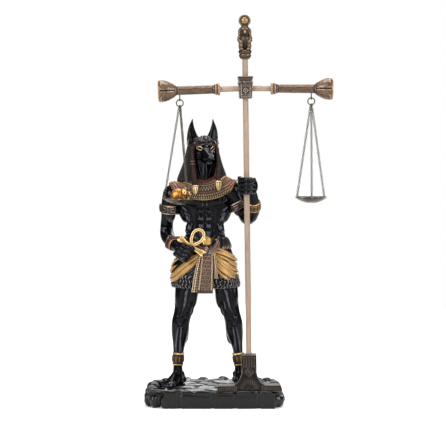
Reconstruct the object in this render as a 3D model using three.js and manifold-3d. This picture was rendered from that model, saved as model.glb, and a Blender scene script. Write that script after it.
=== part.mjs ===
// A jackal-headed Egyptian god on a flagstone plinth, holding a wooden staff whose cross beam carries two scale pans.
// Millimetres, +Z up. The figure faces -Y, +X is on the right of someone who faces it.
// The origin is on the plinth's underside, at the middle of its length and depth.
import * as THREE from "three";
import { mergeVertices } from "three/addons/utils/BufferGeometryUtils.js";
import Module from "manifold-3d";

const wasm = await Module();
wasm.setup();

const GAP = 0.3;
const DEGREE = Math.PI / 180;
const FRONT = new THREE.Vector3(0, -1, 0);
const UP = new THREE.Vector3(0, 0, 1);

// Plinth
const PLINTH_TOP = 12.6;
const FLAG_TOP = 14.2;
const PLINTH_ROUNDING = 1.4;
const PLINTH_FRONT = -38;
const PLINTH_OUTLINE = [
  [-44, PLINTH_FRONT],
  [50, PLINTH_FRONT],
  [56, -24],
  [55, 4],
  [49, 26],
  [30, 35],
  [-8, 37],
  [-36, 33],
  [-52, 20],
  [-56, -4],
  [-54, -26],
];
const BRICK_JOINTS = [-29, -2.2, 16.3, 34.9];
const JOINT_WIDTH = 1.8;
const FLAG_PITCH = [24, 20];

// Each boulder is a centre and three radii
const BOULDERS = [
  [-49, -25, 5, 9, 9, 9.6],
  [-52.5, -8, 8, 6, 9, 8],
  [-43.5, -27, 9.4, 7, 7, 5.4],
  [-50, 12, 8, 8, 9, 9],
  [-36, 27, 9, 12, 9, 7.2],
  [-2, 31, 8.6, 14, 8, 6.2],
  [29, 28, 8.4, 12, 8, 7],
  [47, 20, 7, 9, 10, 8],
  [52, -6, 6, 6, 9, 8],
  [51.4, -25, 4, 6.4, 8, 8],
];

// Staff and scales
const STAFF = { x: 27.4, y: -30.5, lean: 0.78 * DEGREE };
const DOWEL_RADIUS = 2.25;
const SOCKET_RADIUS = DOWEL_RADIUS + GAP;
const FOOT = { height: 30, width: 50.5, depth: 12, post: 12, bar: 5.2, sweep: 8, rise: 11, socket: 12, bevel: 0.5 };
const CROSSHEAD = { z: 243.4, bottom: -8.8, shoulder: 3.6, flare: 5.2, fillet: 7.2, top: 8.8, half: 6.1, depth: 0.92 };
const BEAM_Z = 242.7;
const BEAM_DROOP = 1.1 * DEGREE;
const BEAM_DOWEL = [3.6, 27];
const COLUMN_START = 20.2;
const RING_AT = 52.5;
const RING = { radius: 2.75, wire: 0.5, below: 6.3 };
const FINIAL_Z = 266;
const PAN = { radius: 12.8, depth: 4.7, wall: 1 };
const PAN_DROP = 82.6;
const LINK_PITCH = 4.5;
const CHAIN_WIDTH = [1, 0.4];

// Figure: every row is one cross-section, [x, y, z, half width, half depth]
const TORSO = [
  [-9, 1.5, 114, 21, 13],
  [-8.6, 1, 128, 19, 12.5],
  [-8.4, 0.5, 137, 16.8, 11],
  [-8.2, 0, 144.5, 15.6, 10],
  [-8.2, -0.3, 151, 16.6, 10.6],
  [-8.4, -0.5, 159, 19.8, 12],
  [-8.8, -0.5, 167, 22.4, 13],
  [-9.8, 0.3, 175, 22, 11.6],
  [-10.2, 1, 182, 15, 8.5],
  [-10.2, 0.5, 187, 7.6, 7.6],
  [-10.2, -0.5, 200, 6.4, 6.8],
];
const RIGHT_LEG = [
  [-21, 0.5, 106, 11, 12],
  [-23, 0, 95, 10.3, 11.4],
  [-24.2, 0, 84, 9.8, 10.2],
  [-26, -0.4, 75, 8.7, 8.8],
  [-28.3, -0.4, 66, 7.4, 7.8],
  [-29, 1, 57, 7.2, 7.7],
  [-30.2, 2, 45, 5.2, 5.6],
  [-31, 2, 32, 4.2, 4.9],
  [-31, 1.4, 19, 5, 6.6],
];
const LEFT_LEG = [
  [4, 0.5, 106, 11, 12],
  [7.8, 0, 95, 10, 11.4],
  [9.9, 0, 84, 9.2, 10],
  [12.3, -0.4, 75, 8.1, 8.7],
  [14.8, -0.4, 66, 7.2, 7.8],
  [15.7, 1, 57, 6.9, 7.6],
  [17.9, 2, 45, 4.8, 5.5],
  [19.4, 2, 32, 4.1, 4.8],
  [19.6, 1.4, 19, 4.9, 6.6],
];
const RIGHT_ARM = [
  [-29, 1, 175.6, 7.6, 8.6],
  [-35, 1.5, 170.6, 8, 8.8],
  [-38, 3.5, 162, 7.2, 7.8],
  [-39.6, 6.5, 152, 6, 6.6],
  [-40.6, 8.6, 144, 5.6, 6],
  [-39.8, 4, 137.5, 6, 6],
  [-36.6, -4, 132.5, 5.5, 5.6],
  [-28, -17.6, 126.4, 4.5, 4.6],
];
const LEFT_ARM = [
  [8.4, 1, 177, 7.4, 8.4],
  [14, 1, 172.4, 7.8, 8.2],
  [18.7, 1, 165, 6.9, 7.4],
  [22.6, 1, 157, 6, 6.6],
  [25.6, -1, 150.6, 5.3, 5.8],
  [28.6, -7, 153, 5.6, 5.6],
  [31, -13, 159, 5.4, 5.2],
  [30.6, -20, 168, 4.3, 4.4],
  [28.4, -24.6, 175, 4.2, 4.4],
];
const KILT = [
  [-8.6, 0.6, 138.5, 17.2, 12],
  [-8.6, 0.8, 131, 19.8, 14.4],
  [-8.6, 1, 121, 23.2, 16.8],
  [-8.8, 1.2, 110, 25.4, 18.2],
  [-8.2, 1.4, 100, 27, 18.8],
  [-8, 1.5, 94, 26.8, 18.8],
];
const WIG = [
  [-10.6, 1.5, 217.4, 5, 5],
  [-10.6, 2.4, 213.5, 10.6, 10.2],
  [-10.6, 3.4, 206, 13.2, 12],
  [-10.6, 4, 196, 15.8, 12.8],
  [-10.8, 4.4, 184.5, 20, 13.2],
  [-10.8, 4.6, 180, 20.6, 13],
];
const LAPPETS = [
  [
    [-19.2, -5.6, 207, 2.3, 2.8],
    [-17.8, -8.8, 192, 2.2, 2.6],
    [-16.6, -12.8, 182, 2.3, 2.4],
    [-16.2, -15.2, 174, 2.6, 1.6],
  ],
  [
    [1, -5.6, 207, 2.3, 2.8],
    [2.6, -8.6, 192, 2.2, 2.6],
    [3.4, -12.4, 182, 2.3, 2.4],
    [3.6, -14.8, 174, 2.6, 1.6],
  ],
];
const THROAT = [
  [-8.6, -13, 177, 5.5, 8],
  [-8.6, -13, 205, 7.4, 8],
];
const COLLAR = [
  [-10.2, 0.5, 186, 10, 8.6],
  [-10.2, 0, 181, 20, 12.4],
  [-10.2, -0.4, 175.5, 27, 14.8],
  [-10.2, -0.4, 173.6, 27.6, 15.4],
  [-10.2, 0, 172.4, 24, 13],
];
const COLLAR_DIP = [3.5, 4, 6.2, 6.5, 6];
const APRON = [
  [-7.3, -17.4, 124, 4.3, 2],
  [-7.6, -20.4, 110, 5, 1.6],
  [-8.2, -21.8, 91, 6.4, 1.5],
];
const RIBBONS = [
  [
    [-12.6, -17, 122, 1.6, 1.8],
    [-15.4, -19, 106, 1.9, 1.6],
    [-17.2, -19.8, 91.6, 2.2, 1.5],
  ],
  [
    [-1.8, -17, 122, 1.5, 1.8],
    [0.2, -19, 106, 1.6, 1.6],
    [0.8, -19.8, 92.4, 1.9, 1.5],
  ],
];
// The sash goes round the kilt: degrees from the front, height and half width
const SASH_THICKNESS = 1.5;
const SASH = {
  left: [
    [2, 124.5, 1.8],
    [-28, 114, 5],
    [-62, 109.4, 6.4],
    [-95, 109, 6],
    [-135, 112.5, 4.6],
    [-181, 116, 3.6],
  ],
  right: [
    [12, 125, 2.2],
    [36, 116, 8.2],
    [66, 108.6, 9],
    [98, 109.5, 7.2],
    [137, 113.5, 5],
    [181, 116, 3.6],
  ],
};
const BELT = { z: 134, height: 5.5, top: [18.9, 13.8], bottom: [20.5, 15.2] };
const MEDALLION = { x: -6.6, y: -13.6, z: 133.6, radius: 4, thickness: 3 };
const HEAD = { at: [-10.2, 0.5, 207], turn: 18 * DEGREE, skull: [8.4, 9.4, 7.8] };
const MUZZLE = [
  [0, -4, -1, 6.2, 6.2],
  [0, -9.5, -2.6, 4.9, 5.1],
  [0, -15, -4.8, 3.4, 3.8],
  [0, -19, -6.4, 2.9, 3.2],
  [0, -20.8, -7, 2, 2.2],
];
const EAR = [
  [9, 1.5, 4, 4.6, 3.4],
  [9.4, 1.4, 10.4, 4.6, 2.8],
  [9.4, 1.2, 15.4, 3.8, 2.2],
  [9, 1, 20.4, 2.4, 1.4],
  [8.3, 0.6, 25.8, 0.4, 0.4],
];
const CREST = [
  [0, -7, 7, 2.8, 2],
  [0, -9.6, 9.6, 1.6, 1.5],
];
const ANKH = { at: [-19.6, -23.6, 129.4], turn: 34 * DEGREE, loop: [5, 7.4], ribbon: 1.3, thickness: 1, arm: 10.6, stem: 14 };
const RIGHT_FIST = { at: [-24.8, -20.4, 124.6], turn: [0, 32 * DEGREE, -20 * DEGREE] };
const LEFT_FIST = { at: [STAFF.x - 2.3, STAFF.y, 178.4], turn: [0, -STAFF.lean, -40 * DEGREE] };
const FIST = { fingerPitch: 3.4, width: 7, depth: 6.6, groove: 0.8 };
const SOLE = [
  [0, 9, 4, 3.4, 4],
  [0, 5, 5.6, 4.4, 5.6],
  [0, -1, 6, 4.6, 6],
  [0.2, -8, 4.2, 5.2, 4.2],
  [0.4, -15.5, 2.3, 5.7, 2.3],
];
const FEET = [
  { ankle: [-32.2, 0.5], turn: -38 * DEGREE, mirror: 1 },
  { ankle: [20.6, 0.5], turn: 24 * DEGREE, mirror: -1 },
];
const BANDS = [
  { limb: RIGHT_ARM, row: 2, share: 0.4, height: 8 },
  { limb: RIGHT_ARM, row: 6, share: 0.3, height: 7.4 },
  { limb: LEFT_ARM, row: 2, share: 0, height: 6.6 },
  { limb: LEFT_ARM, row: 6, share: 0.4, height: 8 },
  { limb: RIGHT_LEG, row: 6, share: 0.78, height: 10.6 },
  { limb: LEFT_LEG, row: 6, share: 0.78, height: 10.6 },
];
const BAND_PROUD = 0.9;

// Turns a closed three.js geometry into a manifold-3d solid.
function solid(geometry, matrix) {
  const plain = geometry.clone();
  plain.deleteAttribute("normal");
  plain.deleteAttribute("uv");
  if (matrix) plain.applyMatrix4(matrix);
  const merged = mergeVertices(plain, 1e-4);
  return new wasm.Manifold(
    new wasm.Mesh({
      numProp: 3,
      vertProperties: merged.attributes.position.array,
      triVerts: new Uint32Array(merged.index.array),
    }),
  );
}

// Turns a manifold-3d solid back into a flat-shaded three.js geometry.
function geometryOf(body) {
  const mesh = body.getMesh();
  const geometry = new THREE.BufferGeometry();
  geometry.setAttribute("position", new THREE.BufferAttribute(mesh.vertProperties, 3));
  geometry.setIndex(new THREE.BufferAttribute(mesh.triVerts, 1));
  const flat = geometry.toNonIndexed();
  flat.computeVertexNormals();
  return flat;
}

const unite = (bodies) => wasm.Manifold.union(bodies);

function placed(at = [0, 0, 0], turn = [0, 0, 0], scale = [1, 1, 1]) {
  return new THREE.Matrix4().compose(
    new THREE.Vector3(...at),
    new THREE.Quaternion().setFromEuler(new THREE.Euler(...turn)),
    new THREE.Vector3(...scale),
  );
}

// A closed tube through cross-sections [x, y, z, half width, half depth]. With level set, every section lies flat.
// A fullness below 1 makes the sections squarer than an ellipse.
function limb(rows, sides = 10, { level = false, front = FRONT, fullness = 1, shape = null } = {}) {
  const last = rows.length - 1;
  const centres = rows.map(([x, y, z]) => new THREE.Vector3(x, y, z));
  const frames = centres.map((centre, i) => {
    const along = centres[Math.min(i + 1, last)].clone().sub(centres[Math.max(i - 1, 0)]);
    const tangent = level ? new THREE.Vector3(0, 0, Math.sign(along.z)) : along.normalize();
    const forward = front.clone().addScaledVector(tangent, -front.dot(tangent)).normalize();
    const side = new THREE.Vector3().crossVectors(forward, tangent);
    return { centre, forward, side };
  });
  const geometry = new THREE.CylinderGeometry(1, 1, 1, sides, last);
  const position = geometry.attributes.position;
  const point = new THREE.Vector3();
  for (let i = 0; i < position.count; i++) {
    point.fromBufferAttribute(position, i);
    const row = Math.round((0.5 - point.y) * last);
    const { centre, forward, side } = frames[row];
    const [, , , halfWidth, halfDepth] = rows[row];
    const moved = centre
      .clone()
      .addScaledVector(side, Math.sign(point.x) * Math.abs(point.x) ** fullness * halfWidth)
      .addScaledVector(forward, Math.sign(point.z) * Math.abs(point.z) ** fullness * halfDepth);
    if (shape) shape(moved, row, point);
    position.setXYZ(i, moved.x, moved.y, moved.z);
  }
  return geometry;
}

const blob = (at, radii, turn = [0, 0, 0], wide = 8, high = 6) =>
  solid(new THREE.SphereGeometry(1, wide, high), placed(at, turn, radii));

const upright = (length, from, radius = DOWEL_RADIUS, sides = 12) =>
  new THREE.CylinderGeometry(radius, radius, length, sides).rotateX(Math.PI / 2).translate(0, 0, from + length / 2);

const sideways = (length, from, radius = DOWEL_RADIUS) => upright(length, from, radius).rotateY(Math.PI / 2);

// Where a section falls between two rows of a table, with the share from 0 to 1.
const between = (rows, index, share) =>
  rows[index].map((value, i) => THREE.MathUtils.lerp(value, rows[index + 1][i], share));

// A ring-shaped band round a limb, standing proud of it.
function band({ limb: rows, row, share, height }) {
  const middle = between(rows, row, share);
  const along = new THREE.Vector3(...rows[row + 1].slice(0, 3)).sub(new THREE.Vector3(...rows[row].slice(0, 3)));
  along.setLength(height / 2);
  const end = (direction) => [
    middle[0] + along.x * direction,
    middle[1] + along.y * direction,
    middle[2] + along.z * direction,
    middle[3] + BAND_PROUD,
    middle[4] + BAND_PROUD,
  ];
  return solid(limb([end(-1), end(1)], 8));
}

// Plinth: a rounded slab with boulders at its ends and back, paved with worn flagstones, brick joints in front.
function plinthSolid() {
  const outline = new THREE.Shape(PLINTH_OUTLINE.map(([x, y]) => new THREE.Vector2(x, y)));
  const slab = new THREE.ExtrudeGeometry(outline, {
    depth: PLINTH_TOP - PLINTH_ROUNDING,
    bevelThickness: PLINTH_ROUNDING,
    bevelSize: PLINTH_ROUNDING,
    bevelOffset: -PLINTH_ROUNDING,
    bevelSegments: 1,
  });
  const rocks = BOULDERS.map(([x, y, z, ...radii], i) => {
    const rock = new THREE.DodecahedronGeometry(1, 0).rotateX(i).rotateY(2 * i);
    return solid(rock, placed([x, y, z], [0, 0, 0], radii));
  });
  const flags = [];
  for (let row = 0; row < 3; row++) {
    for (let column = row % 2; column < 4; column++) {
      const x = (column - 1.5) * FLAG_PITCH[0] - (row % 2) * 12 - 2;
      const y = (row - 1) * FLAG_PITCH[1] + ((column * 7) % 3) - 1;
      const underFoot = Math.hypot(x + 36, y + 6) < 18 || Math.hypot(x - 22, y + 6) < 18;
      const top = FLAG_TOP - (underFoot ? 0 : ((row * 5 + column * 3) % 4) * 0.35);
      const flag = new THREE.CylinderGeometry(9.4, 12, 3, 5).rotateY(row + column).rotateX(Math.PI / 2);
      flags.push(solid(flag, placed([x, y, top - 1.5], [0, 0, 0], [1, 0.8, 1])));
    }
  }
  const joints = BRICK_JOINTS.map((x) => {
    const joint = new THREE.BoxGeometry(JOINT_WIDTH, JOINT_WIDTH, 4 * PLINTH_TOP);
    return solid(joint, placed([x, PLINTH_FRONT, 0], [0, 0, 45 * DEGREE]));
  });
  const seat = new THREE.BoxGeometry(FOOT.width + 1.4, FOOT.depth + 1.4, 2 * FLAG_TOP);
  const bearing = solid(seat, placed([STAFF.x, STAFF.y, PLINTH_TOP + FLAG_TOP]));
  const whole = unite([solid(slab), ...rocks, ...flags]).subtract(unite([...joints, bearing]));
  return whole.trimByPlane([0, 0, 1], 0);
}

// A closed hand round its own z axis: four stacked fingers with grooves between them in front, and a thumb.
function fist({ at, turn }) {
  const matrix = placed(at, turn);
  const rows = [];
  for (let step = -4; step <= 4; step++) {
    const reach = Math.abs(step) === 4 ? 0.78 : 1;
    rows.push([0.2, 0.2, (-step * FIST.fingerPitch) / 2, FIST.width * reach, FIST.depth * reach]);
  }
  const shape = (moved, row, point) => {
    if (row % 2 === 0 && point.z > -0.2) moved.addScaledVector(new THREE.Vector3(-point.x, point.z, 0), FIST.groove);
  };
  const thumb = [
    [-3.4, 3.4, 3, 2, 2.2],
    [-6, -1, 5.6, 1.7, 1.9],
    [-3.4, -5, 6.6, 1.4, 1.6],
  ];
  return [
    solid(limb(rows, 9, { level: true, fullness: 0.8, shape }), matrix),
    solid(limb(thumb, 5, { front: UP }), matrix),
  ];
}

// A bare foot from the heel to five toes, the big toe on the inner side.
function foot({ ankle, turn, mirror }) {
  const matrix = placed([...ankle, FLAG_TOP + GAP], [0, 0, turn]);
  const parts = [solid(limb(SOLE, 7, { front: UP }), matrix)];
  for (let toe = 0; toe < 5; toe++) {
    const size = 1.9 - toe * 0.16;
    const across = (4.2 - toe * 2.2) * mirror;
    const reach = -19.4 + Math.abs(toe - 1) * 0.8;
    const rows = [
      [across, -14, size, size * 0.8, size],
      [across, reach, size * 0.7, size * 0.6, size * 0.7],
    ];
    parts.push(solid(limb(rows, 5, { front: UP }), matrix));
  }
  return parts;
}

// The jackal's head: skull, long muzzle, eyes, a crest on the brow and two tall pricked ears.
function headParts() {
  const matrix = placed(HEAD.at, [0, 0, HEAD.turn]);
  const parts = [
    solid(new THREE.SphereGeometry(1, 8, 6).rotateX(Math.PI / 2).scale(...HEAD.skull), matrix),
    solid(limb(MUZZLE, 8, { front: UP }), matrix),
    solid(limb(CREST, 6), matrix),
  ];
  for (const mirror of [-1, 1]) {
    const ear = EAR.map(([x, ...rest]) => [x * mirror, ...rest]);
    parts.push(solid(limb(ear, 6, { level: true }), matrix));
    parts.push(solid(new THREE.SphereGeometry(1, 4, 4).scale(2.6, 1.6, 1.2).translate(4.9 * mirror, -7.6, 1.4), matrix));
  }
  return parts;
}

// The broad collar hangs lower at the breast and the back than over the shoulders.
function collarSolid() {
  const shape = (moved, row, point) => {
    moved.z -= COLLAR_DIP[row] * point.z ** 2 * (point.z > 0 ? 1 : 0.5);
  };
  return solid(limb(COLLAR, 12, { level: true, shape }));
}

// A point on the kilt's surface at an angle from the front, and a height.
function onKilt(angle, z) {
  const index = KILT.findIndex((row, i) => i + 1 < KILT.length && z <= row[2] && z >= KILT[i + 1][2]);
  const share = (KILT[index][2] - z) / (KILT[index][2] - KILT[index + 1][2]);
  const [x, y, , halfWidth, halfDepth] = between(KILT, index, share);
  return [x + halfWidth * Math.sin(angle * DEGREE), y - halfDepth * Math.cos(angle * DEGREE)];
}

function sashSolid(route) {
  const rows = route.map(([angle, z, half]) => [...onKilt(angle, z), z, SASH_THICKNESS, half]);
  return solid(limb(rows, 6, { front: UP }));
}

// The looped cross in the right hand: a teardrop loop over a crossbar with flared ends, and a stem.
function ankhParts() {
  const matrix = placed(ANKH.at, [0, ANKH.turn, 0]);
  const loop = new THREE.TorusGeometry(1, 0.5, 4, 10).rotateX(Math.PI / 2);
  const position = loop.attributes.position;
  for (let i = 0; i < position.count; i++) {
    const angle = Math.atan2(position.getZ(i), position.getX(i));
    const outward = (Math.hypot(position.getX(i), position.getZ(i)) - 1) * 2 * ANKH.ribbon;
    const pinch = 1 - 0.5 * Math.max(0, -Math.sin(angle)) ** 2;
    const x = (ANKH.loop[0] * pinch + outward) * Math.cos(angle);
    const z = (ANKH.loop[1] + outward) * Math.sin(angle) + ANKH.loop[1] + 1;
    position.setXYZ(i, x, position.getY(i) * 2 * ANKH.thickness, z);
  }
  const crossbar = [
    [-ANKH.arm, 0, 0, ANKH.thickness, 2.2],
    [0, 0, 0, ANKH.thickness, 1.1],
    [ANKH.arm, 0, 0, ANKH.thickness, 2.2],
  ];
  const stem = [
    [0, 0, 1, 1.3, ANKH.thickness],
    [0, 0, -ANKH.stem, 1.7, ANKH.thickness],
  ];
  return [loop, limb(crossbar, 4, { front: UP }), limb(stem, 4)].map((piece) => solid(piece, matrix));
}

// Breast and stomach muscles that stand out on the bare body.
function muscles() {
  const stomach = (mirror) => [
    [-8.5 + 3.4 * mirror, -7.4, 139, 3, 4],
    [-8.5 + 3.2 * mirror, -7.4, 150, 3, 4],
    [-8.6 + 3.4 * mirror, -8, 160, 3.2, 4.4],
  ];
  return [-1, 1].flatMap((mirror) => [
    solid(limb(stomach(mirror), 5, { level: true })),
    blob([-8.8 + 9 * mirror, -9, 165.5], [8.8, 5, 6.6], [0, 0, 0], 7, 5),
  ]);
}

function figureSolid(staffHole) {
  const belt = [
    [-8.7, 0.7, BELT.z + BELT.height / 2, ...BELT.top],
    [-8.7, 0.7, BELT.z - BELT.height / 2, ...BELT.bottom],
  ];
  const { x, y, z, radius, thickness } = MEDALLION;
  const parts = [
    solid(limb(TORSO, 12, { level: true })),
    solid(limb(KILT, 16, { level: true })),
    solid(limb(RIGHT_LEG, 8, { level: true })),
    solid(limb(LEFT_LEG, 8, { level: true })),
    solid(limb(RIGHT_ARM, 8)),
    solid(limb(LEFT_ARM, 8)),
    solid(limb(belt, 16, { level: true })),
    solid(limb(APRON, 6, { level: true })),
    solid(new THREE.CylinderGeometry(radius, radius, thickness, 8), placed([x, y, z])),
    solid(limb(WIG, 12, { level: true, fullness: 0.7 })).subtract(solid(limb(THROAT, 6, { level: true }))),
    collarSolid(),
    sashSolid(SASH.left),
    sashSolid(SASH.right),
    ...RIBBONS.map((rows) => solid(limb(rows, 4, { level: true }))),
    ...LAPPETS.map((rows) => solid(limb(rows, 6))),
    ...headParts(),
    ...muscles(),
    ...fist(RIGHT_FIST),
    ...fist(LEFT_FIST),
    ...FEET.flatMap(foot),
    ...ankhParts(),
    ...BANDS.map(band),
  ];
  return unite(parts).subtract(staffHole);
}

// The staff's foot: a post that sweeps out into a long low bar, with a socket for the dowel.
function staffFootSolid() {
  const { height, width, depth, post, bar, sweep, rise, socket, bevel } = FOOT;
  const outline = new THREE.Shape();
  outline.moveTo(-width / 2, 0);
  outline.lineTo(width / 2, 0);
  outline.lineTo(width / 2, bar);
  outline.absellipse(post / 2 + sweep, bar + rise, sweep, rise, -Math.PI / 2, -Math.PI, true);
  outline.lineTo(post / 2, height);
  outline.lineTo(-post / 2, height);
  outline.absellipse(-post / 2 - sweep, bar + rise, sweep, rise, 0, -Math.PI / 2, true);
  outline.lineTo(-width / 2, bar);
  const plain = new THREE.ExtrudeGeometry(outline, {
    depth: depth - 2 * bevel,
    curveSegments: 5,
    bevelThickness: bevel,
    bevelSize: bevel,
    bevelOffset: -bevel,
    bevelSegments: 1,
  });
  plain.rotateX(Math.PI / 2).translate(0, depth / 2 - bevel, 0);
  return solid(plain).subtract(solid(upright(socket + 1, height - socket, SOCKET_RADIUS)));
}

// A square block that tapers between two heights.
function tapered(low, high, from, to) {
  const corner = Math.SQRT2;
  const block = new THREE.CylinderGeometry(high * corner, low * corner, to - from, 4);
  block.rotateY(45 * DEGREE).rotateX(Math.PI / 2).scale(1, CROSSHEAD.depth, 1).translate(0, 0, (from + to) / 2);
  return solid(block);
}

// The crosshead: a tapered block under a flared cornice, with blind sockets for four dowels.
function crossheadSolid() {
  const { bottom, shoulder, flare, fillet, top, half } = CROSSHEAD;
  const block = unite([
    tapered(half * 0.84, half * 0.93, bottom, shoulder),
    tapered(half * 0.98, half * 0.98, shoulder - 0.6, flare - 0.4),
    tapered(half * 0.84, half, flare - 0.6, fillet),
    tapered(half, half, fillet - 0.1, top),
    solid(new THREE.BoxGeometry(6.6, 2, 9.4), placed([0, -half * 0.8, -2.8])),
  ]);
  const side = BEAM_DOWEL[0] - GAP;
  const sockets = [
    upright(5, bottom - 1, SOCKET_RADIUS),
    upright(6, top - 4.6, SOCKET_RADIUS),
    sideways(6, side, SOCKET_RADIUS).translate(0, 0, BEAM_Z - CROSSHEAD.z),
    sideways(6, -6 - side, SOCKET_RADIUS).translate(0, 0, BEAM_Z - CROSSHEAD.z),
  ];
  return block.subtract(unite(sockets.map((socket) => solid(socket))));
}

// A papyrus column lying along +X: a collar, a ribbed shaft and an open bell of petals.
function columnSolid() {
  const sides = 12;
  const profile = [
    [0, 0],
    [4.9, 0],
    [4.9, 1.8],
    [4, 2.6],
    [4.5, 3.8],
    [3.3, 5.6],
    [3.5, 35.2],
    [4.4, 36],
    [6.6, 41],
    [9.1, 47.6],
    [8.6, 49],
    [0, 49.8],
  ].map(([radius, along]) => new THREE.Vector2(radius, along));
  const turned = new THREE.LatheGeometry(profile, sides);
  const position = turned.attributes.position;
  for (let i = 0; i < position.count; i++) {
    const along = position.getY(i);
    const angle = Math.atan2(position.getZ(i), position.getX(i));
    const ribbed = along > 5 && along < 48;
    const odd = Math.round((angle * sides) / (2 * Math.PI)) % 2;
    const swell = ribbed && odd ? 0.91 : 1;
    position.setXYZ(i, position.getX(i) * swell, along, position.getZ(i) * swell);
  }
  turned.rotateZ(-Math.PI / 2).translate(COLUMN_START, 0, 0);
  return solid(turned).subtract(solid(sideways(9, COLUMN_START - 1, SOCKET_RADIUS)));
}

// A small screw eye hanging from its own origin.
function eyeSolid() {
  const eye = new THREE.TorusGeometry(1.5, 0.42, 4, 8).rotateY(Math.PI / 2).rotateX(Math.PI / 8).translate(0, 0, -3.2);
  return unite([solid(upright(1.9, -2, 0.5, 4)), solid(eye)]);
}

// The squatting baboon with a moon disc in a crescent, on a small round pedestal.
function finialSolid() {
  const profile = [
    [0, 0],
    [3.4, 0],
    [5, 3],
    [4.4, 4],
    [5.3, 5.2],
    [5.3, 7],
    [0, 7],
  ].map(([radius, z]) => new THREE.Vector2(radius, z));
  const disc = [
    [0, -1.4],
    [3, -1.4],
    [3.3, -0.7],
    [4.7, -0.9],
    [4.7, 0.9],
    [3.3, 0.7],
    [3, 1.4],
    [0, 1.4],
  ].map(([radius, y]) => new THREE.Vector2(radius, y));
  const parts = [
    solid(new THREE.LatheGeometry(profile, 8).rotateX(Math.PI / 2)),
    blob([0, 0.6, 13.2], [5.4, 4.8, 8.4], [0, 0, 0], 8, 5),
    blob([0, 0.2, 22], [5, 4.6, 5], [0, 0, 0], 8, 5),
    blob([0, -4.2, 21], [1.9, 3, 1.9], [0, 0, 0], 5, 4),
    solid(new THREE.LatheGeometry(disc, 12), placed([0, 0.2, 30.6])),
  ];
  for (const mirror of [-1, 1]) {
    const arm = [
      [4.2 * mirror, -0.6, 18, 1.5, 1.6],
      [4.8 * mirror, -2, 13.4, 1.4, 1.5],
      [3 * mirror, -4.8, 14, 1.2, 1.3],
    ];
    parts.push(solid(limb(arm, 4)));
    parts.push(blob([3 * mirror, -2.8, 11], [2.2, 3.2, 4.2], [0, 0, 0], 6, 4));
  }
  return unite(parts).subtract(solid(upright(8, -1.7, SOCKET_RADIUS)));
}

// A shallow round dish with three small lugs on its rim for the chains.
function panSolid(angles) {
  const steps = 4;
  const bowl = (radius, depth) =>
    Array.from({ length: steps + 1 }, (_, i) => new THREE.Vector2((radius * i) / steps, depth * ((i / steps) ** 2 - 1)));
  const outer = bowl(PAN.radius, PAN.depth);
  const inner = bowl(PAN.radius - PAN.wall, PAN.depth - PAN.wall);
  const dish = new THREE.LatheGeometry([...outer, ...inner.reverse()], 14).rotateX(Math.PI / 2);
  const reach = PAN.radius - PAN.wall / 2;
  const lugs = angles.map((angle) =>
    solid(upright(2, -0.5, 0.8, 4), placed([reach * Math.cos(angle), reach * Math.sin(angle), 0])),
  );
  return unite([solid(dish), ...lugs]);
}

// A chain as a thin strand, flattened at every link and each link turned a quarter from the last.
function chainGeometry(from, to) {
  const count = Math.round(from.distanceTo(to) / LINK_PITCH);
  const rows = [];
  for (let i = 0; i <= count; i++) {
    const at = from.clone().lerp(to, i / count);
    rows.push([at.x, at.y, at.z, CHAIN_WIDTH[i % 2], CHAIN_WIDTH[1 - (i % 2)]]);
  }
  return limb(rows, 4);
}

// The golden heart: a leaning egg with stubs of vessels at its broad end.
function heartSolid() {
  const stubs = [
    [[4, 0.6, 8.6, 1.8, 1.8], [5.8, 0.8, 11, 1.5, 1.5]],
    [[4.6, -1, 6, 2, 2], [8.4, -1.4, 7, 1.5, 1.5]],
  ];
  return unite([
    blob([-1.4, 0, 6], [6.6, 5, 5.3], [0, 0.22, 0]),
    blob([2.8, 0.4, 6.2], [4.6, 4.8, 4.8], [0, 0, 0], 8, 5),
    ...stubs.map((rows) => solid(limb(rows, 5))),
  ]);
}

const MATERIALS = {
  black: new THREE.MeshStandardMaterial({ color: 0x16151a, roughness: 0.35, metalness: 0.1 }),
  stone: new THREE.MeshStandardMaterial({ color: 0x26242a, roughness: 0.45, metalness: 0.05 }),
  bronze: new THREE.MeshStandardMaterial({ color: 0x6d5238, roughness: 0.45, metalness: 0.6 }),
  wood: new THREE.MeshStandardMaterial({ color: 0xc2a48b, roughness: 0.65, metalness: 0 }),
  chain: new THREE.MeshStandardMaterial({ color: 0x8f8b7e, roughness: 0.4, metalness: 0.9 }),
  gold: new THREE.MeshStandardMaterial({ color: 0xc98a2e, roughness: 0.35, metalness: 0.7 }),
};

function add(parent, name, shape, material, z = 0) {
  const geometry = shape.isBufferGeometry ? shape : geometryOf(shape);
  const mesh = new THREE.Mesh(geometry, MATERIALS[material]);
  mesh.name = name;
  mesh.position.z = z;
  parent.add(mesh);
}

function addGroup(parent, position) {
  const group = new THREE.Group();
  group.position.copy(position);
  parent.add(group);
  return group;
}

const statue = new THREE.Group();

// The staff stands on the plinth and leans a little. Its own frame has z along the dowel.
const clearOfPlinth = GAP + (FOOT.width / 2) * Math.sin(STAFF.lean);
const staff = addGroup(statue, new THREE.Vector3(STAFF.x, STAFF.y, PLINTH_TOP + clearOfPlinth));
staff.rotation.y = -STAFF.lean;
staff.updateMatrixWorld(true);

add(statue, "plinth", plinthSolid(), "stone");
add(statue, "anubis_figure", figureSolid(solid(upright(CROSSHEAD.z, 0, SOCKET_RADIUS), staff.matrixWorld)), "black");

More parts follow.
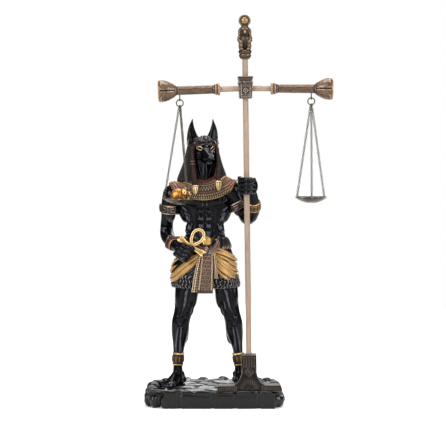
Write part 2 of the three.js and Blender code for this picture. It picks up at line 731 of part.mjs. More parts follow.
const lower = [FOOT.height - FOOT.socket + GAP, CROSSHEAD.z + CROSSHEAD.bottom + 4 - GAP];
const upper = [CROSSHEAD.z + CROSSHEAD.top - 4.6 + GAP, FINIAL_Z + 6];
add(staff, "staff_foot", staffFootSolid(), "bronze");
add(staff, "staff_dowel", upright(lower[1] - lower[0], lower[0]), "wood");
add(staff, "finial_dowel", upright(upper[1] - upper[0], upper[0]), "wood");
add(staff, "crosshead", crossheadSolid(), "bronze", CROSSHEAD.z);
add(staff, "moon_baboon_finial", finialSolid(), "bronze", FINIAL_Z);

// Each side has half of the beam, a column, a ring in a screw eye, three chains and a pan.
const SIDES = [
  { name: "left", mirror: -1, lugs: [180, 62, -58] },
  { name: "right", mirror: 1, lugs: [204, 324, 84] },
];
for (const { name, mirror, lugs } of SIDES) {
  const arm = addGroup(staff, new THREE.Vector3(0, 0, BEAM_Z));
  arm.rotation.y = BEAM_DROOP * mirror;
  const half = addGroup(arm, new THREE.Vector3());
  half.rotation.z = mirror < 0 ? Math.PI : 0;
  add(half, `beam_dowel_${name}`, sideways(BEAM_DOWEL[1] - BEAM_DOWEL[0], BEAM_DOWEL[0]), "wood");
  add(half, `papyrus_column_${name}`, columnSolid(), "bronze");
  arm.updateMatrixWorld(true);

  const hanger = addGroup(statue, arm.localToWorld(new THREE.Vector3(RING_AT * mirror, 0, -3.4 - GAP)));
  const ring = new THREE.TorusGeometry(RING.radius, RING.wire, 5, 12).rotateX(Math.PI / 2);
  add(hanger, `screw_eye_${name}`, eyeSolid(), "chain");
  add(hanger, `ring_${name}`, ring, "chain", -RING.below);

  const angles = lugs.map((angle) => angle * DEGREE);
  const rim = -PAN_DROP;
  add(hanger, `scale_pan_${name}`, panSolid(angles), "bronze", rim);
  angles.forEach((angle, i) => {
    const outward = new THREE.Vector3(Math.cos(angle), Math.sin(angle), 0);
    const top = outward.clone().multiplyScalar(1.7).setZ(-RING.below - 3.8);
    const bottom = outward.clone().multiplyScalar(PAN.radius - PAN.wall / 2).setZ(rim + 1.5 + GAP);
    add(hanger, `chain_${name}_${i + 1}`, chainGeometry(top, bottom), "chain");
  });
  if (name === "left") add(hanger, "golden_heart", heartSolid(), "gold", rim - PAN.depth + PAN.wall);
}

export default statue;
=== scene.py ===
"""Looks of a painted resin figurine: a jackal-headed god on a flagstone plinth, with scales on a staff.

Shapes are worked in millimetres in the frame's own axes and scaled to metres as each piece is finished.
"""

import math

import bmesh
import bpy
import numpy as np
from mathutils import Euler, Matrix, Vector


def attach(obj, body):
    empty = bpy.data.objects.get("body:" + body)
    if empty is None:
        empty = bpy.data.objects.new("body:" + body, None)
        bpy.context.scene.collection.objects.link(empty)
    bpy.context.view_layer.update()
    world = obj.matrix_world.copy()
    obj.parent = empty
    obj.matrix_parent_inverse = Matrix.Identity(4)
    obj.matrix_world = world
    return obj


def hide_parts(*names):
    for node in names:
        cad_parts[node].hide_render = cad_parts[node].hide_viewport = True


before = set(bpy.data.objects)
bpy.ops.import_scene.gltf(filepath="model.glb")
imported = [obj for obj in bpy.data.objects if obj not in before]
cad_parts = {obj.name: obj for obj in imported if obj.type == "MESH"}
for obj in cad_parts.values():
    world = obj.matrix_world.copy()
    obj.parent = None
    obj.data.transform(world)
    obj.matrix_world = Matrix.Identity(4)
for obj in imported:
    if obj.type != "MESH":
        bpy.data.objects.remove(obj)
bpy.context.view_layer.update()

bl_info = {
    "name": "Painted Anubis Figurine",
    "version": (1, 0, 0),
    "blender": (4, 5, 0),
    "location": "3D View > Sidebar > Figurine",
    "description": "Builds a painted resin figurine with a staff and a pair of scales around a packed frame",
    "category": "Add Mesh",
}

MM = 0.001
DEGREE = math.pi / 180
FRONT = (0, -1, 0)
UP = (0, 0, 1)

# The camera, in millimetres
CAMERA_AT = (6.2, -1200, 200)
CAMERA_PITCH = 2.52
FOCAL_PIXELS = 1463
IMAGE_PIXELS = 446
SENSOR = 36
FLOOR_SHADE = (0.9, 0.9, 0.9)

# Tables of cross-sections: every row is [x, y, z, half width, half depth]
MIDDLE = -8.6
TORSO = [
    [-9, 1.5, 116, 20, 13], [-8.6, 1, 128, 18.6, 12.3], [-8.4, 0.5, 137, 16.4, 10.6],
    [-8.2, 0, 144.5, 15, 9.6], [-8.2, -0.3, 151, 16, 10], [-8.4, -0.5, 159, 19.2, 11.4],
    [-8.8, -0.5, 167, 22, 12.4], [-9.8, 0.3, 175, 21.6, 11.2], [-10.2, 1, 182, 15, 8.5],
    [-10.2, 0.5, 187, 7.6, 7.6], [-10.2, 0.5, 200, 6.4, 6.8],
]
RIGHT_ARM = [
    [-29, 1, 175.6, 7.2, 8.2], [-35, 1.5, 170.6, 7.8, 8.6], [-38, 3.5, 162, 6.6, 7.2],
    [-39.4, 6.5, 152, 5.4, 6.2], [-40.4, 8.6, 144, 5.2, 5.8], [-39.8, 4, 137.5, 5.7, 5.8],
    [-36.6, -4, 132.5, 5.3, 5.4], [-28, -17.6, 126.4, 4.1, 4.3],
]
LEFT_ARM = [
    [8.4, 1, 177, 7, 8], [14, 1, 172.4, 7.6, 8], [18.7, 1, 165, 6.4, 7], [22.6, 1, 157, 5.5, 6.2],
    [25.6, -1, 150.6, 5, 5.6], [28.6, -7, 153, 5.4, 5.4], [31, -13, 159, 5.2, 5], [30.6, -20, 168, 4.1, 4.2],
    [28.4, -24.6, 175, 4, 4.2],
]
RIGHT_LEG = [
    [-21, 0.5, 106, 11, 12], [-23, 0, 95, 10, 11], [-24.2, 0, 84, 9.2, 9.8], [-26, -0.4, 75, 8, 8.2],
    [-28.5, -0.4, 66, 7.5, 7.6], [-29.1, 1, 57, 7.2, 7.6], [-30.2, 2, 45, 4.9, 5.2], [-31, 2, 32, 3.9, 4.5],
    [-31, 1.4, 17, 4.6, 6.2],
]
LEFT_LEG = [
    [4, 0.5, 106, 11, 12], [7.8, 0, 95, 9.8, 11], [9.9, 0, 84, 8.7, 9.8], [12.3, -0.4, 75, 7.6, 8.2],
    [14.9, -0.4, 66, 7.3, 7.6], [15.7, 1, 57, 7.1, 7.6], [17.9, 2, 45, 4.6, 5.2], [19.4, 2, 32, 3.8, 4.4],
    [19.6, 1.4, 17, 4.5, 6.2],
]

# Muscles: every row is an offset sideways from the middle line, y, z, three radii and a tilt in degrees
TORSO_MUSCLES = [
    [9.2, -7.6, 166.2, 9.8, 5.6, 6.6, 10], [18.6, 2.5, 160, 4.2, 7.6, 13, -12],
    [15.6, -6.4, 158.6, 4.4, 3.4, 1.5, 42], [14.4, -6.8, 154.6, 4.2, 3.2, 1.4, 44],
    [13.2, -6.8, 150.6, 4, 3, 1.4, 46], [12.2, -6.4, 146.8, 3.6, 2.6, 1.3, 48],
    [12.4, -4.4, 143, 3.8, 5, 6.4, 14], [3.3, -9.4, 157.9, 3, 2.7, 2.8, 0],
    [3.2, -8.8, 151.7, 2.9, 2.7, 2.9, 0], [3.1, -8.2, 145.2, 2.8, 2.7, 3, 0],
    [2.9, -8.9, 138.4, 2.7, 2.6, 3.8, 0], [10, 8.6, 170, 7, 4, 8, 12], [4, 8.4, 150, 3.2, 2.8, 17, 0],
]
# Muscles of an arm: x, y, z and three radii
ARM_MUSCLES = [
    [-35.2, 0.6, 170, 8.2, 9, 9], [-36.6, -1.4, 156, 4.2, 4.8, 8.6], [-40, 8.2, 157, 4.6, 5, 8.6],
    [-41, 10.8, 143.4, 3.4, 3.4, 3.6], [-41.4, 3.4, 139.8, 4.4, 5.2, 5], [-37, -2, 134.6, 4.2, 6, 4.4],
    [13.4, 0.6, 173.6, 8.2, 8.8, 8.8], [18.4, -2.4, 160.4, 4.2, 4.6, 7.6], [22.2, 4.6, 159, 4.4, 4.8, 8],
    [26.6, 2, 149.4, 3.6, 3.8, 3.4], [29.2, -7.4, 153.4, 5.4, 5.6, 5.6],
]
# Muscles of a leg, from its middle line: outwards, y, z, three radii
LEG_MUSCLES = [
    [0, -5.8, 90, 4, 4.4, 17], [5, -2.6, 87, 4.4, 5.6, 16], [-5, -3.4, 90, 4, 5.2, 13],
    [-4.3, -4.4, 77.5, 3.7, 3.7, 6.6], [2, 5.2, 86, 6, 4.6, 15], [0, -6, 70, 3, 2.4, 3.7],
    [0, -6, 64.2, 1.9, 1.7, 2.8], [-0.8, -4.6, 50, 1.5, 2.2, 16], [2.5, -2.4, 53, 2.7, 3.4, 13],
    [-3.3, 3.6, 57, 4, 4.6, 10.5], [3.2, 3.4, 58, 3.6, 4.4, 9.4], [0, 3.6, 44, 3.9, 3.8, 12],
    [0, 6, 29, 1.5, 1.7, 13], [4, 1.6, 21.4, 1.7, 2.3, 2.1], [-4, 0.8, 22.6, 1.7, 2.3, 2.1],
]
# Width and height of the fine ridges over the muscles, and their paths from the middle line; the skin's grey edge
# colour on them paints highlight streaks
RIDGE = (1.2, 0.26)
TORSO_RIDGES = [
    [(1.5, -14, 176), (1.2, -14, 168), (1.6, -14, 160)], [(1.5, -14, 154), (1.2, -13, 146), (1.6, -12, 138)],
    [(5.4, -12, 172), (6, -12, 166)], [(6.6, -12, 157), (6, -12, 149)], [(18, -7, 160), (15, -9, 157.4)],
    [(16.6, -7, 154.6), (13.6, -9, 151.8)], [(14.4, -7, 147), (12.4, -8, 144)],
]
LEG_RIDGES = [
    [(-1, 96), (0.4, 90), (0.2, 84)], [(5, 92), (5.4, 86), (4.8, 80)], [(1.8, 60), (2.2, 54), (1.6, 47)],
]
# Grooves: a path of points from the middle line, a width and a depth
TORSO_GROOVES = [
    ([(0.8, -8, 196), (1.4, -8, 188), (0.6, -8, 180)], 0.8, 0.7),
    ([(5.4, -7, 198), (3.6, -8, 188), (0.6, -8, 179)], 0.8, 0.8),
    ([(6.4, -6, 192), (4.6, -8, 184), (1, -8, 177)], 0.7, 0.7),
    ([(0, -14, 172), (0, -14, 150), (0, -13, 134)], 1.5, -1),
    ([(1, -14, 160.6), (6.4, -13, 160.2), (13, -11, 161.4), (19, -8, 165)], 1.5, -0.5),
    ([(0.6, -14, 154.9), (6.4, -12, 154.7)], 1.1, -0.6), ([(0.6, -13, 148.5), (6.2, -12, 148.4)], 1.1, -0.6),
    ([(0.6, -13, 142), (5.6, -11, 141.8)], 1.1, -0.6),
    ([(6.9, -13, 160), (6.9, -12, 151), (6.4, -11, 143), (5.2, -11, 134)], 1.5, -0.95),
    ([(8, -11, 147), (11, -9, 141), (15.4, -6, 139)], 1.4, -0.5),
    ([(8.4, -12, 137), (11.4, -10, 140), (16, -5, 143)], 1.3, -0.5),
    ([(0, 13, 178), (0, 12, 160), (0, 11, 138)], 2, -0.9),
    ([(4, 12, 176), (14, 9, 166), (18, 6, 158)], 1.6, -0.6),
]
LEG_GROOVES = [
    ([(-2.6, 104), (-2.2, 90), (-1.6, 79)], 1.5, -0.7),
    ([(2.6, 104), (2.8, 90), (2.2, 79), (3.4, 72)], 1.5, -0.7),
    ([(-5.6, 82), (-4.6, 73.4), (-3, 71)], 1.3, -0.6),
    ([(-3.6, 67), (-1, 63.2), (1.6, 63.4), (3.6, 67.4)], 1.2, -0.6),
    ([(0.6, 62), (0.9, 50), (0.7, 36)], 1.1, -0.6), ([(-2.6, 60), (-2.4, 48), (-1.6, 36)], 1.3, -0.5),
    ([(4.4, 62), (4, 50), (3, 38)], 1.2, -0.5),
]
SOLE = [
    [0, 9, 4, 3.4, 4], [0, 5, 5.2, 4.2, 5.2], [0, -1, 5.6, 4.3, 5.6], [0.2, -8, 3.9, 5, 3.9],
    [0.4, -15, 2, 5.4, 2],
]
FINGER_PITCH = 3.45
FINGER_PATH = [(5.4, 3.6), (5.9, -1.6), (4.4, -4.7), (-2.6, -5.1), (-5.1, -2.6), (-4.9, 1.4), (-2.6, 3.2)]
THUMB = [
    [-2.2, 4.6, 2.4, 2.2, 2.3], [-5.2, 1.8, 4.9, 1.9, 2], [-5.2, -2.4, 6.4, 1.7, 1.8],
    [-2.6, -5.2, 6.5, 1.3, 1.4],
]
MUZZLE = [
    [0, -4, -1, 6.8, 6.4], [0, -9.5, -2.4, 5.6, 5], [0, -15, -4.4, 4.2, 3.7], [0, -19, -5.8, 3.4, 3],
    [0, -21.4, -6.6, 2.4, 2.1],
]
JAW = [[0, -3, -7, 4.8, 3.8], [0, -9, -8.4, 4, 2.6], [0, -15, -9.8, 3, 1.8], [0, -18.8, -10.4, 2, 1.2]]
EAR = [
    [7.4, 1.5, 3, 5.2, 3.8], [7.9, 1.5, 7, 5.5, 3.5], [8.3, 1.4, 10.5, 5, 3], [9.2, 1.2, 14.4, 3.7, 2.4],
    [9.5, 1, 19.6, 2.2, 1.5], [8.7, 0.6, 25.7, 0.35, 0.35],
]
EAR_HOLLOW = [(7.6, 7), (8.4, 12), (9.4, 17), (9.3, 23)]
# Lumps of the head: place, radii and turn in degrees, repeated on the other side where x isn't 0
HEAD_BALLS = [
    ((0, 0, 0), (8.4, 9.4, 7.8), (0, 0, 0)), ((5, -5.2, -3.6), (3.8, 5, 4.6), (0, 0, 0)),
    ((4, -8, 3.6), (3.7, 1.9, 1.3), (0, 18, 22)), ((0, -8.4, 1.2), (2.2, 4.4, 3.4), (20, 0, 0)),
    ((0, -21.5, -6), (2.3, 1.5, 1.5), (0, 0, 0)), ((2.8, -17, -6.8), (1.8, 3.4, 1.8), (0, 0, -12)),
    ((0, -6.2, 7), (3, 3, 2.2), (0, 0, 0)),
]
HEAD_STROKES = [
    ([(3.2, -9.8, 0.2), (5, -8.8, 1.2), (6.8, -6.9, 2)], 1.9, -1.2),
    ([(0.9, -21.5, -9), (3, -18, -9), (5, -13, -8), (7, -7.4, -6)], 0.9, -0.9),
    ([(0, -23, -7.4), (0, -22, -9.4)], 0.6, -0.5),
    ([(3, -10.6, -0.6), (3.6, -13.6, -3.2), (3.2, -17.4, -5)], 1, -0.55),
    ([(6.8, -5, -1), (6.4, -4.4, -5), (4.6, -4.6, -8.4)], 1, -0.5),
    ([(5.6, -9, -2), (5.8, -8, -5.8)], 0.8, -0.5), ([(6.6, -8, -3), (6.4, -7, -6.6)], 0.7, -0.4),
    ([(0, -9.6, 5.4), (0, -12.4, 1), (0, -15.6, -1.4)], 0.9, -0.4),
    ([(1.2, -8.4, 7), (2.2, -9.4, 4.6)], 0.6, -0.4), ([(1.3, -22.6, -6.6), (1.7, -21.6, -7)], 0.6, -0.6),
]
HEAD_AT = (-10.2, 0.5, 207)
HEAD_TURN = 18
FOOT_GROUND = 14.1
RIGHT_WRIST = (-28, -17.6, 126.4)
LEFT_WRIST = (28.4, -24.6, 175)
STAFF_AT = (27.4, -30.5, 13.244)
STAFF_LEAN = 0.78
RIGHT_GRIP = (-24.8, -20.4, 124.6)
LEFT_GRIP = (25.1, -30.5, 178.4)
COLLAR = [
    [-10.2, 0.5, 186, 10, 8.6], [-10.2, 0, 181, 20, 12.4], [-10.2, -0.4, 175.5, 27, 14.8],
    [-10.2, -0.4, 173.6, 27.6, 15.4], [-10.2, 0, 172.4, 24, 13],
]
COLLAR_DIP = [3.5, 4, 6.2, 6.5, 6]
COLLAR_FACE = 0.77
COLLAR_RISE = 4
# Rows of the collar: from and to as shares of its face, the kind, how many round it and how high they stand
COLLAR_ROWS = [
    (0, 0.08, "rib", 0, 0.5), (0.09, 0.24, "beads", 84, 0.6), (0.25, 0.29, "rib", 0, 0.45),
    (0.3, 0.48, "zigzag", 60, 0.6), (0.49, 0.53, "rib", 0, 0.45), (0.54, 0.66, "beads", 96, 0.6),
    (0.67, 0.7, "rib", 0, 0.45), (0.71, 0.93, "tubes", 92, 0.75), (0.94, 1.02, "rib", 0, 0.9),
]
WIG = [
    [-10.6, 1.5, 217.4, 4, 4], [-10.6, 2, 216, 8, 7.6], [-10.6, 2.6, 213, 10.8, 10.2],
    [-10.6, 3.4, 206, 12.6, 11.6], [-10.6, 4, 196, 15.2, 12.4], [-10.8, 4.4, 184.5, 19.4, 12.8],
    [-10.8, 4.6, 179.4, 20, 12.6],
]
WIG_STRANDS = 52
WIG_BAND = (211.6, 214.6)
WIG_HEM = 183
FACE_OPENING = ([176, 184, 197, 206, 209.6, 211.4, 212], [6.2, 7, 8.8, 9.6, 9, 2, -3])
# Bound locks beside the face, and at which share of them the gold tip starts
LOCKS = [
    (
        "left_lock",
        [
            [-18.9, -7, 209, 1.2, 1.4], [-18.4, -9.2, 200, 1.4, 1.5], [-17.8, -11.4, 190, 1.6, 1.6],
            [-16.8, -14.4, 181, 1.9, 1.6], [-16.3, -16, 176, 2.3, 1.5], [-16.2, -16.6, 171.6, 0.8, 0.9],
        ],
    ),
    (
        "right_lock",
        [
            [1.6, -5.4, 209, 1, 1.2], [2, -7.6, 200, 1.3, 1.4], [2.4, -10.6, 190, 1.5, 1.5],
            [2.4, -14, 184, 1.7, 1.6], [2.6, -16, 179.4, 2.1, 1.5], [2.8, -16.8, 174.4, 0.6, 0.8],
        ],
    ),
]
LOCK_TIP_FROM = 0.72
LOCK_CUFFS = (197.4, 195.2)
EAR_BEADS = [(11.6, 215.6, 0.8), (12.2, 214.1, 1), (12.4, 212.4, 1.05), (12.1, 210.8, 0.9)]
# The crest over the brow: lumps as place and radii, and carved lines
CREST = [((0, -4.2, 8), (6.2, 4.6, 4.2)), ((0, -7.8, 9.2), (1.5, 1.2, 1.7))]
CREST_LINES = [(-5.4, -3), (-3, -1.4), (3, 1.4), (5.4, 3)]
EYE_AT = (4.9, -8.9, 1.3)
EYE_OUTLINE = [
    (-2.5, -0.4, -0.6), (-1.5, -0.9, 0.7), (0.2, -1.05, 1.35), (1.9, -0.8, 1), (3.5, 0.1, 0.5),
    (1.9, -0.75, -0.8), (0.2, -1, -1.35), (-1.4, -0.9, -1.2), (-2.5, -0.4, -0.6),
]
KILT = [
    [-8.6, 0.6, 134, 16.4, 11.4], [-8.6, 0.8, 129.4, 19.4, 13.8], [-8.6, 1, 121, 22.6, 16.2],
    [-8.8, 1.2, 110, 24.8, 17.6], [-8.2, 1.4, 100, 26.3, 18.2], [-8, 1.5, 94.4, 26.1, 18.2],
]
PLEAT_HEIGHT = 1.7
# Fans of the sash: name, first and last pleat as (degrees from the front, z, half width), how many and lift
SASH_FANS = [
    (
        "sash_left",
        [
            (-3, 124.4, 1), (-24, 119.8, 1.4), (-46, 113, 1.5), (-68, 107, 1.4), (-88, 104.6, 1.2),
            (-108, 105, 1),
        ],
        [
            (-5, 120.2, 0.9), (-22, 113, 1.3), (-40, 106.6, 1.5), (-60, 101.4, 1.4), (-84, 100, 1.2),
            (-108, 101.6, 1),
        ],
        5, 0.9,
    ),
    (
        "sash_left_end", [(-52, 119, 0.7), (-68, 115.4, 1.2), (-84, 111.4, 1.3), (-100, 108.4, 0.8)],
        [(-64, 112.6, 0.7), (-76, 110, 1.2), (-88, 107.8, 1.2), (-102, 106.6, 0.8)], 2, 1.6,
    ),
    (
        "sash_right_low", [(15, 120, 0.9), (32, 112, 1.4), (52, 106.4, 1.5), (74, 103.4, 0.3)],
        [(14, 117, 0.9), (24, 109.4, 1.3), (38, 103.6, 1.4), (54, 100.8, 0.3)], 3, 0.6,
    ),
    (
        "sash_right_middle", [(15, 124, 0.9), (38, 118, 1.5), (64, 112.8, 1.5), (92, 110.4, 0.3)],
        [(15, 120.6, 0.9), (36, 113, 1.4), (58, 107.4, 1.5), (82, 104.6, 0.3)], 3, 1.3,
    ),
    (
        "sash_right_high", [(14, 127.4, 0.8), (34, 125.4, 1.4), (58, 121.6, 1.4), (82, 119.4, 0.3)],
        [(15, 123.8, 0.8), (38, 118.8, 1.4), (64, 114.6, 1.4), (90, 113, 0.3)], 3, 2,
    ),
    (
        "sash_back", [(84, 115.6, 1), (124, 118, 1.6), (180, 120, 1.7), (236, 118, 1.6), (268, 116, 1)],
        [(84, 106, 1), (124, 107, 1.6), (180, 109, 1.7), (236, 108, 1.6), (268, 107, 1)], 4, 0.5,
    ),
]
# The front panel: x, y, z and half width
PANEL = [[-6.4, -18.2, 124.4, 4.7], [-6.9, -20, 112, 5.4], [-7.7, -20.8, 101, 6], [-8.5, -21.2, 91.2, 6.5]]
PANEL_RUNG = 3.1
PANEL_MARK = 2.1
RIBBONS = [
    [[-12, -17, 122, 1.2, 1.4], [-15.2, -18.6, 106, 1.5, 1.2], [-17.2, -19.4, 92, 1.9, 1.1]],
    [[-1.2, -17, 124, 1, 1.3], [0.2, -18.6, 112, 1, 1.1], [0.6, -19.2, 103, 0.9, 1]],
]
BELT = [
    [-8.7, 0.7, 134.6, 16, 11], [-8.7, 0.7, 134.4, 17.9, 12.9], [-8.7, 0.7, 131.6, 19.6, 14.4],
    [-8.7, 0.7, 127.6, 20.9, 15.4], [-8.7, 0.7, 127, 19, 14],
]
BELT_SCROLLS = [
    [
        [-8.4, -18.4, 122.6, 0.8, 1], [-10.6, -18.4, 125, 1.9, 1.2], [-13.8, -17.4, 128, 2.1, 1.2],
        [-17, -15.8, 131, 1.6, 1], [-19, -14.4, 133.4, 0.5, 0.7],
    ],
    [
        [-6.4, -18.4, 122.6, 0.8, 1], [-4, -18.6, 124.6, 1.8, 1.2], [-0.8, -17.4, 127.6, 2.1, 1.2],
        [1.6, -16.2, 131, 1.8, 1.1], [1.2, -15.2, 134, 1, 0.9], [-0.6, -15, 134.4, 0.5, 0.7],
    ],
]
BELT_KNOBS = [((-7.4, -18.6, 125.6), (2.2, 1.3, 3.4)), ((-7.4, -19.6, 125.6), (1.1, 0.9, 2))]
MEDALLION_AT = (-6.9, -15.4, 133.3)
MEDALLION = [[0, 2.5], [1.6, 2.3], [2.9, 1.6], [3.4, 1.9], [4, 1.2], [4, -2]]
CROSS_AT = (-19.6, -23.6, 129.4)
CROSS_LOOP = (5.2, 7.4)
CROSS_RIBBON = 1.1
CROSS_BAR = [
    [-11, 0, 0.6, 0.95, 2.7], [-10.4, 0, 0.5, 1.05, 2.6], [-5, 0, 0.1, 1, 1.6], [0, 0, 0, 1, 1.35],
    [5, 0, 0.1, 1, 1.6], [10.4, 0, 0.5, 1.05, 2.6], [11, 0, 0.6, 0.95, 2.7],
]
CROSS_STEM = [[0, 0, 1.4, 1.1, 1], [0, 0, -6, 1.3, 1], [0, 0, -14, 1.7, 1.05]]
BAND_PROUD = 0.35
# Bands: name, skin, limb, place along its table, height, how level it is, kind and finish
BANDS = [
    ("right_armlet", "body", RIGHT_ARM, 2.3, 7.4, 0.6, "ovals", "armlet_paint"),
    ("right_bracelet", "body", RIGHT_ARM, 6.3, 7.4, 0, "panels", "bracelet_paint"),
    ("left_armlet", "body", LEFT_ARM, 2.3, 6.6, 0, "ovals", "armlet_paint"),
    ("left_bracelet", "body", LEFT_ARM, 6.4, 8, 0, "bars", "anklet_paint"),
    ("right_anklet", "right_leg", RIGHT_LEG, 6.78, 10.6, 0, "bars", "anklet_paint"),
    ("left_anklet", "left_leg", LEFT_LEG, 6.78, 10.6, 0, "bars", "anklet_paint"),
]

# The plinth
PLINTH_OUTLINE = [
    (-41, -38), (48.6, -38), (52.4, -34), (56, -24), (55, 4), (49, 26), (30, 35), (-8, 37), (-36, 33),
    (-52, 20), (-56, -4), (-54, -26), (-47, -35.4),
]
BRICK_JOINTS = (-29, -2.2, 16.3, 34.9)
STONE_PITCH = (17, 13)
STONE_JOINT = 5.6
PLINTH_INSET = 0.94
STONE_TOP = 13.5
STONE_SEED = 12
# Boulders stand along a path round the ends and the back, in tiers of z, how many, and sizes from and to
BOULDER_PATH = [
    (-41, -31.4), (-47.6, -29.4), (-52, -23), (-52, -13), (-52, 2), (-48.6, 18), (-35, 31), (-8, 34.4),
    (29, 32.8), (46, 22), (49.6, 4), (50.2, -14), (49.8, -27),
]
BOULDER_TIERS = [(5.6, 22, 5.6, 7.2), (11, 26, 4, 5.4)]
BOULDER_SEED = 4
SLAB_ENDS = (-42, 48)
PLINTH_LIMITS = ((-57.8, -37.9, 0), (57.8, 38.6, 16.3))
ROCK_LIP = [
    [-54, -26, 11, 2.6, 2.4], [-50, -32, 13, 2.6, 2.2], [-43, -35.4, 13.6, 2.4, 2],
    [-37, -35.6, 13, 2.4, 1.8], [-30, -35, 13.8, 2.6, 1.9], [-24, -35.8, 12.6, 1.8, 1.2],
]
# Where the staff foot stands: middle x and y, half sizes and height
SEAT = (27.4, -30.5, 25.9, 6.6, 12.6)
# The staff, in its own axes
DOWEL_RADIUS = 2.25
FOOT = {"height": 30, "width": 50.5, "depth": 12, "post": 12, "bar": 5.2, "sweep": 8, "rise": 11}
STAFF_ROD = (18.3, 238.3)
FINIAL_ROD = (247.9, 272)
BEAM_ROD = (3.6, 27)
BEAM_Z = 242.7
BEAM_DROOP = 1.1
SIDES = (("left", -1), ("right", 1))
CROSSHEAD = {"z": 243.4, "half": 6.1, "depth": 0.92}
# Blocks of the crosshead: half widths below and above as shares, and from and to
CROSSHEAD_BLOCKS = [(0.84, 0.93, -8.8, 3.6), (1, 1, 3, 4.8), (0.84, 1, 4.6, 7.2), (1, 1, 7.1, 8.8)]
FINIAL_Z = 266
PEDESTAL = [
    [0.01, 0], [3.4, 0], [4.4, 1.4], [5, 2.8], [4.9, 3.4], [4.3, 4], [5.2, 5], [5.3, 6.6], [4.8, 7],
    [0.01, 7],
]
MOON_AT = (0, 0.2, 30.4)
MOON_RADIUS = 3.6
CRESCENT_RADIUS = 4.15
# Lumps of the baboon: place, radii and turn
BABOON_BALLS = [
    ((0, 0.8, 13.2), (4.8, 4.3, 7.8), (0, 0, 0)), ((0, -1, 15.6), (3.6, 3.4, 4.4), (0, 0, 0)),
    ((3, -2.6, 10.4), (2.1, 3, 3.8), (10, 0, 0)), ((3, -4.4, 13.2), (1.5, 1.4, 1.5), (0, 0, 0)),
    ((2.6, -4.6, 7.8), (1.4, 1.6, 0.9), (0, 0, 0)), ((0, 0.4, 22), (4.6, 4.2, 4.6), (0, 0, 0)),
    ((4, -0.4, 21), (1.2, 2.4, 3.6), (0, 0, 0)), ((0, -3.4, 21.4), (1.9, 3, 1.9), (14, 0, 0)),
    ((0, -6, 20.7), (1.3, 0.9, 1.1), (0, 0, 0)), ((1.5, -3.6, 23.4), (1.5, 0.9, 0.7), (0, 12, 0)),
]
BABOON_LIMBS = [
    [
        [4.2, -0.6, 18, 1.4, 1.6], [4.7, -2, 14.6, 1.3, 1.5], [3.6, -4.6, 13.6, 1.1, 1.2],
        [2.8, -5.2, 12.4, 1, 1],
    ],
    [[3, -1.6, 8, 1.8, 1.8], [3, -5, 9.4, 1.2, 1.2]],
]
BABOON_STROKES = [
    ([(0, -5.2, 19), (0, -4.6, 12), (0, -4.8, 7.4)], 0.9, -0.9),
    ([(1.2, -5, 17.6), (1.4, -5, 14.8)], 0.5, -0.5), ([(1.4, -4.4, 22.8), (2.4, -3.9, 22.6)], 0.55, -0.7),
    ([(0.5, -7.2, 20.4), (1.6, -5.8, 20.2)], 0.4, -0.4),
    ([(3.2, -4, 19.4), (3.4, -3.6, 22.4), (2.6, -3.4, 24.8), (0, -3.6, 25.4)], 0.6, -0.5),
    ([(5.2, -1.6, 16.6), (5, -3.2, 12), (4.6, -3.4, 8)], 0.6, -0.5),
    ([(2, -6.2, 8.2), (2.2, -6.4, 7.4)], 0.4, -0.4),
]
# Half of the beam, with along from the start of its column
COLUMN_START = 20.2
COLUMN_PROFILE = [
    [0.01, 0], [4.5, 0], [4.9, 0.3], [4.9, 1.5], [4.6, 1.9], [4, 2.3], [4.1, 2.7], [4.5, 3.2], [4.4, 3.9],
    [3.7, 4.4], [3.7, 5], [3.3, 5.6], [3.5, 34.6], [4.1, 35.2], [4.3, 36], [5.8, 38.6], [7.3, 41.6],
    [8.3, 44.6], [8.7, 47], [8.6, 48.6], [8, 49.4], [7.2, 48.8], [3, 48.3], [0.01, 48.2],
]
COLUMN_LEAVES = 4
RING_AT = 52.5
RING = {"radius": 2.75, "wire": 0.5, "below": 6.3}
SCREW_EYE = {"shaft": 0.5, "radius": 1.5, "wire": 0.42, "below": 3.2}
LINK = {"length": 2.8, "width": 2, "wire": 0.28, "twist": 12, "play": 0.12}
PAN_DROP = 82.6
PAN_HOLES = 12.3
PAN_FLOOR = -3.7
PAN_LUG = {"radius": 0.85, "wire": 0.26, "above": 0.65}
PAN_LUGS = {"left": (180, 62, -58), "right": (204, 324, 84)}
# Section of a pan from the middle of its inside over the rim to the middle of its underside
PAN_PROFILE = [
    [0.01, -3.8], [4, -3.5], [8, -2.2], [11.2, -0.7], [12, 0], [12.4, 0.35], [12.7, 0], [12.4, -0.5],
    [11.4, -1.3], [8.4, -3], [4.4, -4.4], [0.01, -4.7],
]
HEART_BALLS = [
    ((-1.4, 0, 5.8), (6.4, 4.7, 5), (0, -13, 0)), ((2.8, 0.4, 6.2), (4.4, 4.6, 4.6), (0, 0, 0)),
    ((-3.4, -0.6, 5.4), (4, 3.8, 3.8), (0, -20, 0)), ((3.4, -2.2, 7.6), (2.8, 2.6, 2.6), (0, 0, 0)),
]
HEART_VESSELS = [
    [[3, 0.6, 7.6, 2.2, 2.2], [4.4, 0.7, 9.2, 1.8, 1.8], [5.6, 0.8, 10.8, 1.6, 1.6]],
    [[3, -1, 6, 2.4, 2.4], [6.4, -1.3, 6.6, 1.8, 1.8], [8.4, -1.4, 7, 1.6, 1.6]],
    [[4.6, 0.4, 3.4, 1.4, 1.4], [7.4, 0.4, 3.6, 1.1, 1.1]],
]
HEART_STRETCH = 1.1
